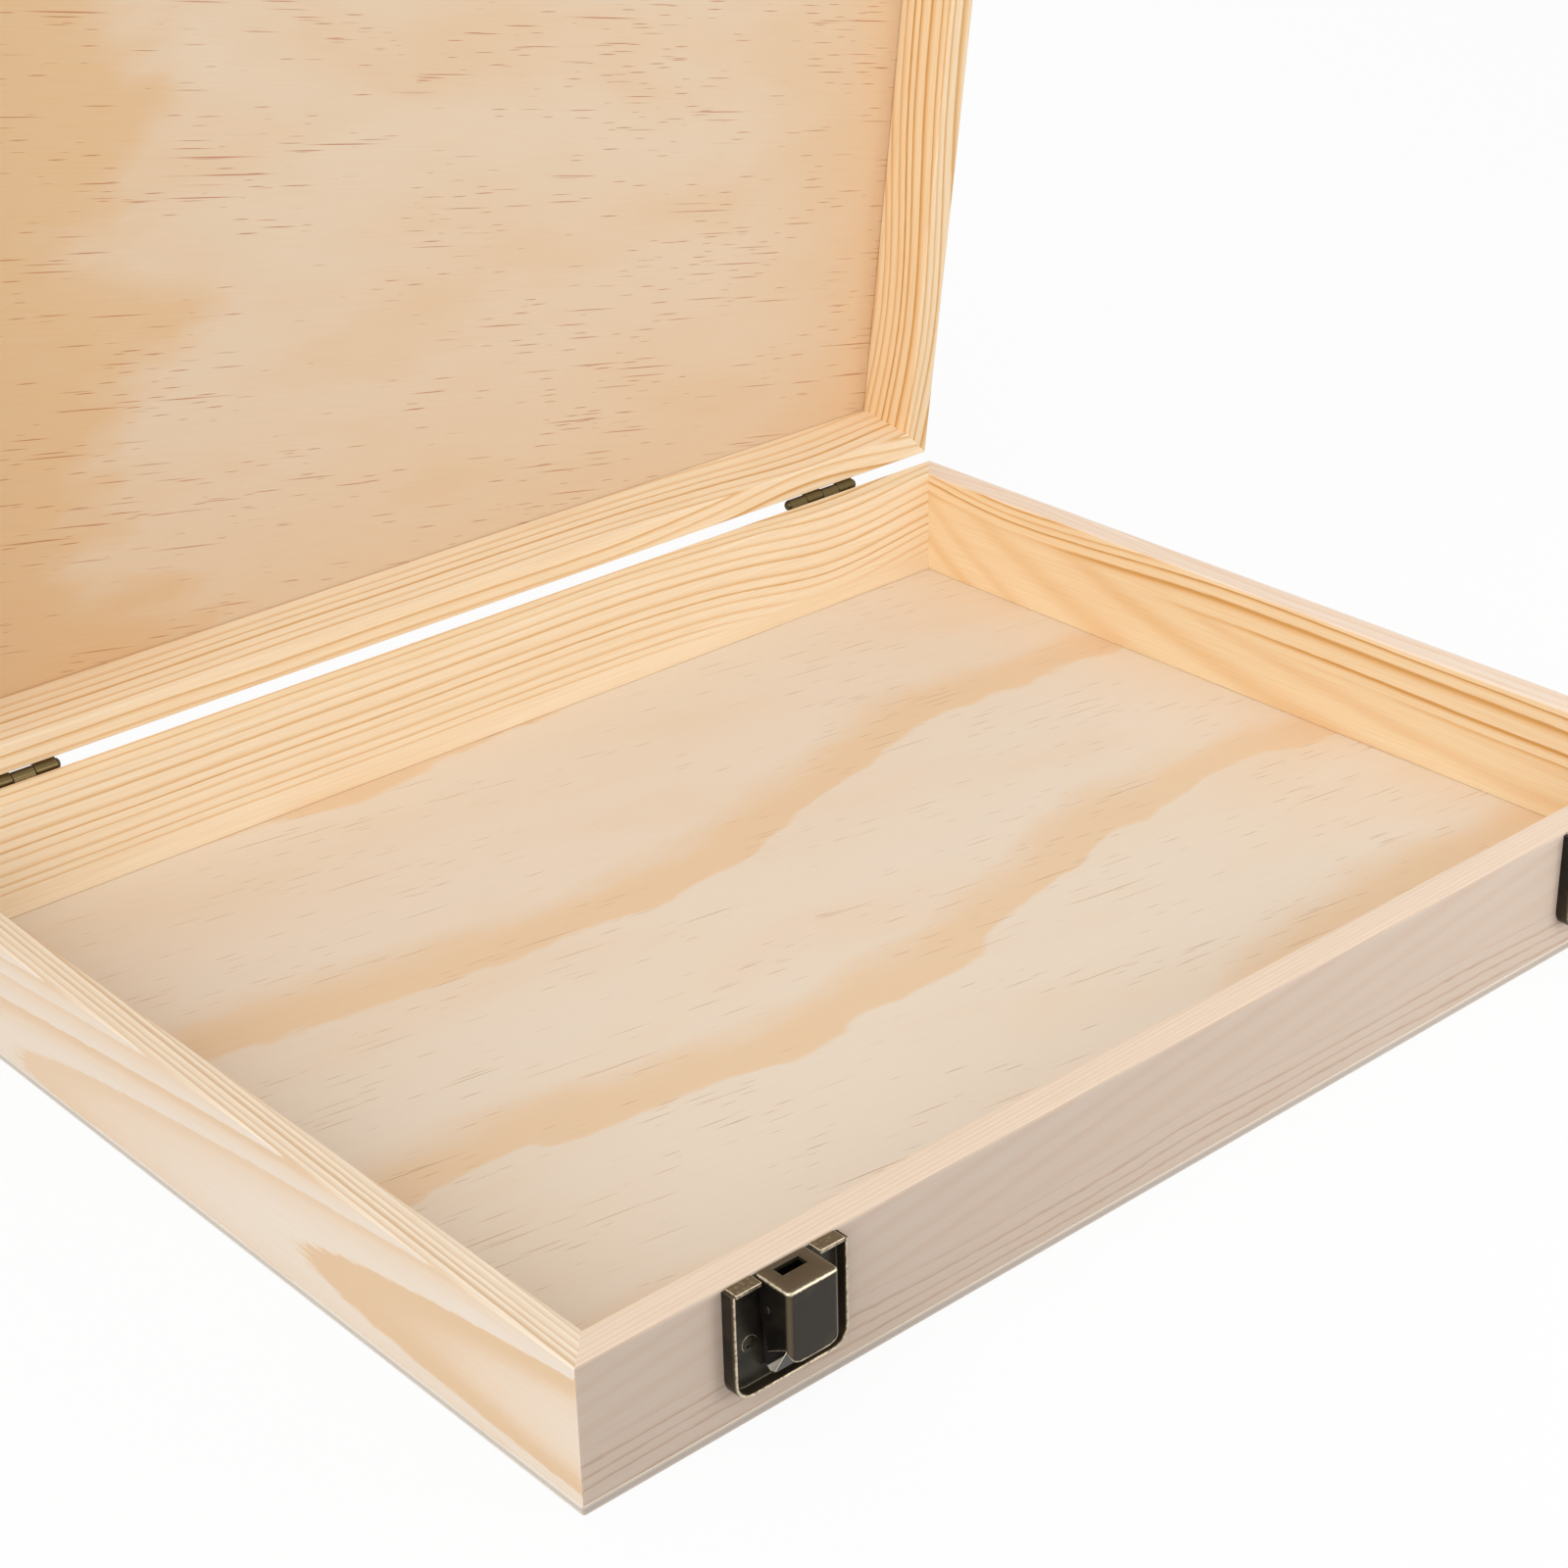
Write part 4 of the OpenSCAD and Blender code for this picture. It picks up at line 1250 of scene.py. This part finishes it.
# The honey tone at the left, at the right and by the hinges: the reach of its ragged edge, where it
# starts and where it is full, in millimetres, and its share.
HONEY_LEFT = (130.0, -50.0, -95.0, 0.9)
# The right end's honey tone is partly the veneer's own and partly painted bounce light from the lid's
# right wall.
HONEY_RIGHT_AND_BOUNCE = (60.0, 80.0, 150.0, 0.55)
HONEY_HINGES = (90.0, 40.0, 130.0, 0.28)
HONEY_CLOUD_RANGE = (0.38, 0.7)
HONEY_CLOUD_SHARE = 0.45


def lid_clouds(grain, cloud):
    """Honey tone at the left end, with a soft ragged edge, and less of it at the right end and towards the
    hinges, with clouds between; at the right end it is partly painted bounce light from the lid's right
    wall. The strongest of these holds at each point."""
    along, across, _ = xyz(grain)
    fingers = noise(grain, HONEY_FINGERS, detail=4.0) - 0.5
    tint = ramp(cloud, *HONEY_CLOUD_RANGE) * HONEY_CLOUD_SHARE
    for place, honey in ((along, HONEY_LEFT), (along, HONEY_RIGHT_AND_BOUNCE), (across, HONEY_HINGES)):
        ragged, start, full, share = honey
        tint = larger(tint, ramp(fingers * ragged + place, start, full) * share)
    return tint


panel_low, panel_high = shut_corners("lid_panel")
lid_ply = plywood("plywood_lid", ((231, 212, 188), (226, 190, 146), (178, 94, 44)),
                  slope=-0.2, fleck_share=0.5, band_mask=lid_clouds)
points, faces, grain = panel_mesh(panel_low, panel_high)
fix(put("lid_top_panel", opened(points), faces, lid_ply, grain=grain), "lid", "lid_panel")


# Hinge leaves on the lid, with their screws. They are of the same plated sheet as the tray's leaves,
# mirror them about the axis and fill the gaps between their knuckles.

for hand in HANDS:
    points, faces, wear = hinge_half(first=1)
    points = opened(points * np.array([1, 1, -1]) + hinge_place(hand))
    piece = put(f"{hand}_lid_leaf", points, faces, hinge_bronze, wear=wear)
    soften(piece, HINGE_BEVEL)
    fix(piece, "lid", f"{hand}_hinge_lid_leaf")

lid_screw_places = hinge_screw_places + np.array([0, 0, 2 * HINGE_SCREW_DROP])
points, faces, wear = screws_along(lid_screw_places, outward=1, turns=(70, 15, 33, 5))
piece = put("lid_leaf_screws", opened(points), faces, hinge_bronze, wear=wear)
fix(piece, "lid", "hinge_lid_screws")


# Latch catches, with their screws. Each is a small plate pressed out of the same plated sheet as the
# latches and screwed on the lid's front, with a hook folded out of it that drops through the lever's slot.

HOOK_HALF_WIDTH = 2.4
HOOK_TOP = 2.5
HOOK_THICKNESS = 0.9
HOOK_OUT = 3.7
HOOK_BEND = (0.6, 0.18)
HOOK_NOSE = -2.6
HOOK_NOSE_TAPER = 0.2
HOOK_BITE = -1.0
HOOK_BITE_OUT = 4.5
HOOK_WEAR = 0.3
HOOK_TONE = 0.3
CATCH_SCREW_RISE = 8.0
CATCH_START = 0.5


def hook_outline():
    """Closed outline of the hook, as place out of the wall and height over the tray's rim: an arm out of
    the plate, a bend with one corner cut, and a leg that ends in a barb."""
    arm = HOOK_TOP - HOOK_THICKNESS
    root = PLATE_SHEET - WELD
    inner = HOOK_OUT - HOOK_THICKNESS
    far, near = HOOK_BEND
    return np.array([
        [root, arm], [root, HOOK_TOP], [HOOK_OUT - far, HOOK_TOP], [HOOK_OUT - near, HOOK_TOP - near],
        [HOOK_OUT, HOOK_TOP - far], [HOOK_OUT, HOOK_BITE], [HOOK_BITE_OUT, HOOK_BITE],
        [HOOK_OUT - HOOK_NOSE_TAPER, HOOK_NOSE], [inner, HOOK_NOSE], [inner, arm],
    ])


for hand in HANDS:
    low, high = shut_corners(f"{hand}_latch_catch")
    width, height = high[0] - low[0], high[2] - rim_height - CATCH_START
    points, faces, wear = pressed_tray(width, height, PLATE_DEPTH, top=0.0)
    tray = (points * np.array([1, 1, -1]) + np.array([0, 0, CATCH_START]), faces, wear)
    points, faces = prism(hook_outline(), -HOOK_HALF_WIDTH, HOOK_HALF_WIDTH)
    points, faces, wear = join([tray, (points, faces, metal(points, HOOK_WEAR, HOOK_TONE))])
    points = opened(on_front(points, middle_of(f"{hand}_latch_plate")))
    piece = put(f"{hand}_catch", points, faces, latch_bronze, wear=wear)
    fix(piece, "lid", f"{hand}_latch_catch")

catch_screw_places = plate_screw_places + np.array([0, 0, PLATE_SCREW_DROP + CATCH_SCREW_RISE])
points, faces, wear = screws_along(catch_screw_places, outward=-1, turns=(12, 60, 28, 45))
piece = put("catch_screws", opened(points), faces, latch_bronze, wear=wear)
fix(piece, "lid", "latch_catch_screws")


# Studio. A white floor, a large soft light high on the left, weaker ones overhead and behind the lid, and
# a small one low in front of the right latch.

FLOOR_SIZE = 6.0
FLOOR_WHITE = 0.9
FLOOR_ROUGH = 0.9
FLOOR_GLOSS = 0.1
FLOOR_GLOW = 0.92
AMBIENT = 0.51
WHITE = (1.0, 1.0, 1.0, 1.0)
# Each light's place, what it faces, its width in metres and its power in watts.
LIGHTS = {
    "key": ((-1.5, -0.6, 1.0), (0, 0, 0.05), 1.4, 17),
    "top": ((0.0, 0.1, 1.6), (0, 0, 0.05), 1.4, 3.6),
    "fill": ((0.2, -0.45, 0.12), (0.12, -0.125, 0.02), 0.3, 0.8),
    "behind": ((0.3, 1.5, 0.5), (0, 0.15, 0.1), 1.0, 6),
}


def seen_directly(tree):
    """1 for rays from the camera, off a glossy surface or through a clear one, otherwise 0."""
    path = add(tree, "LightPath", {})
    return larger(path["Is Camera Ray"], larger(path["Is Glossy Ray"], path["Is Transmission Ray"]))


world = bpy.data.worlds.new("studio")
world.use_nodes = True
tree = world.node_tree
tree.nodes.clear()
level = seen_directly(tree) * (1.0 - AMBIENT) + AMBIENT
sky = add(tree, "Background", {"Color": WHITE, "Strength": level})
add(tree, "OutputWorld", {"Surface": sky[0]})
bpy.context.scene.world = world

floor_white = empty_material("floor_white")
tree = floor_white.node_tree
matt = add(tree, "BsdfPrincipled", {
    "Base Color": (FLOOR_WHITE, FLOOR_WHITE, FLOOR_WHITE, 1.0), "Roughness": FLOOR_ROUGH,
    "Specular IOR Level": FLOOR_GLOSS,
})
glow = add(tree, "Emission", {"Color": WHITE, "Strength": 1.0})
mixed = add(tree, "MixShader", {0: seen_directly(tree) * FLOOR_GLOW, 1: matt[0], 2: glow[0]})
add(tree, "OutputMaterial", {"Surface": mixed[0]})
corners = np.array([[-1, -1, 0], [1, -1, 0], [1, 1, 0], [-1, 1, 0]]) * FLOOR_SIZE / 2 / MM
floor = put("studio_floor", corners, [[0, 1, 2, 3]], floor_white, closed=False)

for name, (place, target, size, power) in LIGHTS.items():
    lamp = bpy.data.lights.new(name, "AREA")
    lamp.size = size
    lamp.energy = power
    light = bpy.data.objects.new(name, lamp)
    light.location = place
    light.rotation_euler = (Vector(target) - Vector(place)).to_track_quat("-Z", "Y").to_euler()
    bpy.context.scene.collection.objects.link(light)


# Camera. It stands where the photograph was taken from, at the front left, looks down into the box
# and is turned a little on its own axis.

CAMERA_PLACE = (-0.39329, -0.44828, 0.33581)
CAMERA_LENS = 70.867
CAMERA_SENSOR = 36.0
CAMERA_HEADING = math.radians(49.0405)
CAMERA_DOWN = math.radians(26.9498)
CAMERA_ROLL = math.radians(-1.3876)

forward = np.array([math.cos(CAMERA_DOWN) * math.cos(CAMERA_HEADING),
                    math.cos(CAMERA_DOWN) * math.sin(CAMERA_HEADING), -math.sin(CAMERA_DOWN)])
level_right = np.array([math.sin(CAMERA_HEADING), -math.cos(CAMERA_HEADING), 0])
level_up = np.cross(level_right, forward)
right = math.cos(CAMERA_ROLL) * level_right + math.sin(CAMERA_ROLL) * level_up
up = math.cos(CAMERA_ROLL) * level_up - math.sin(CAMERA_ROLL) * level_right
lens = bpy.data.cameras.new("camera")
lens.lens = CAMERA_LENS
lens.sensor_width = CAMERA_SENSOR
lens.clip_start = 0.01
camera = bpy.data.objects.new("camera", lens)
camera.matrix_world = Matrix([*np.stack([right, up, -forward, CAMERA_PLACE], 1).tolist(), (0, 0, 0, 1)])
bpy.context.scene.collection.objects.link(camera)
bpy.context.scene.camera = camera
bpy.context.scene.view_settings.view_transform = "Standard"
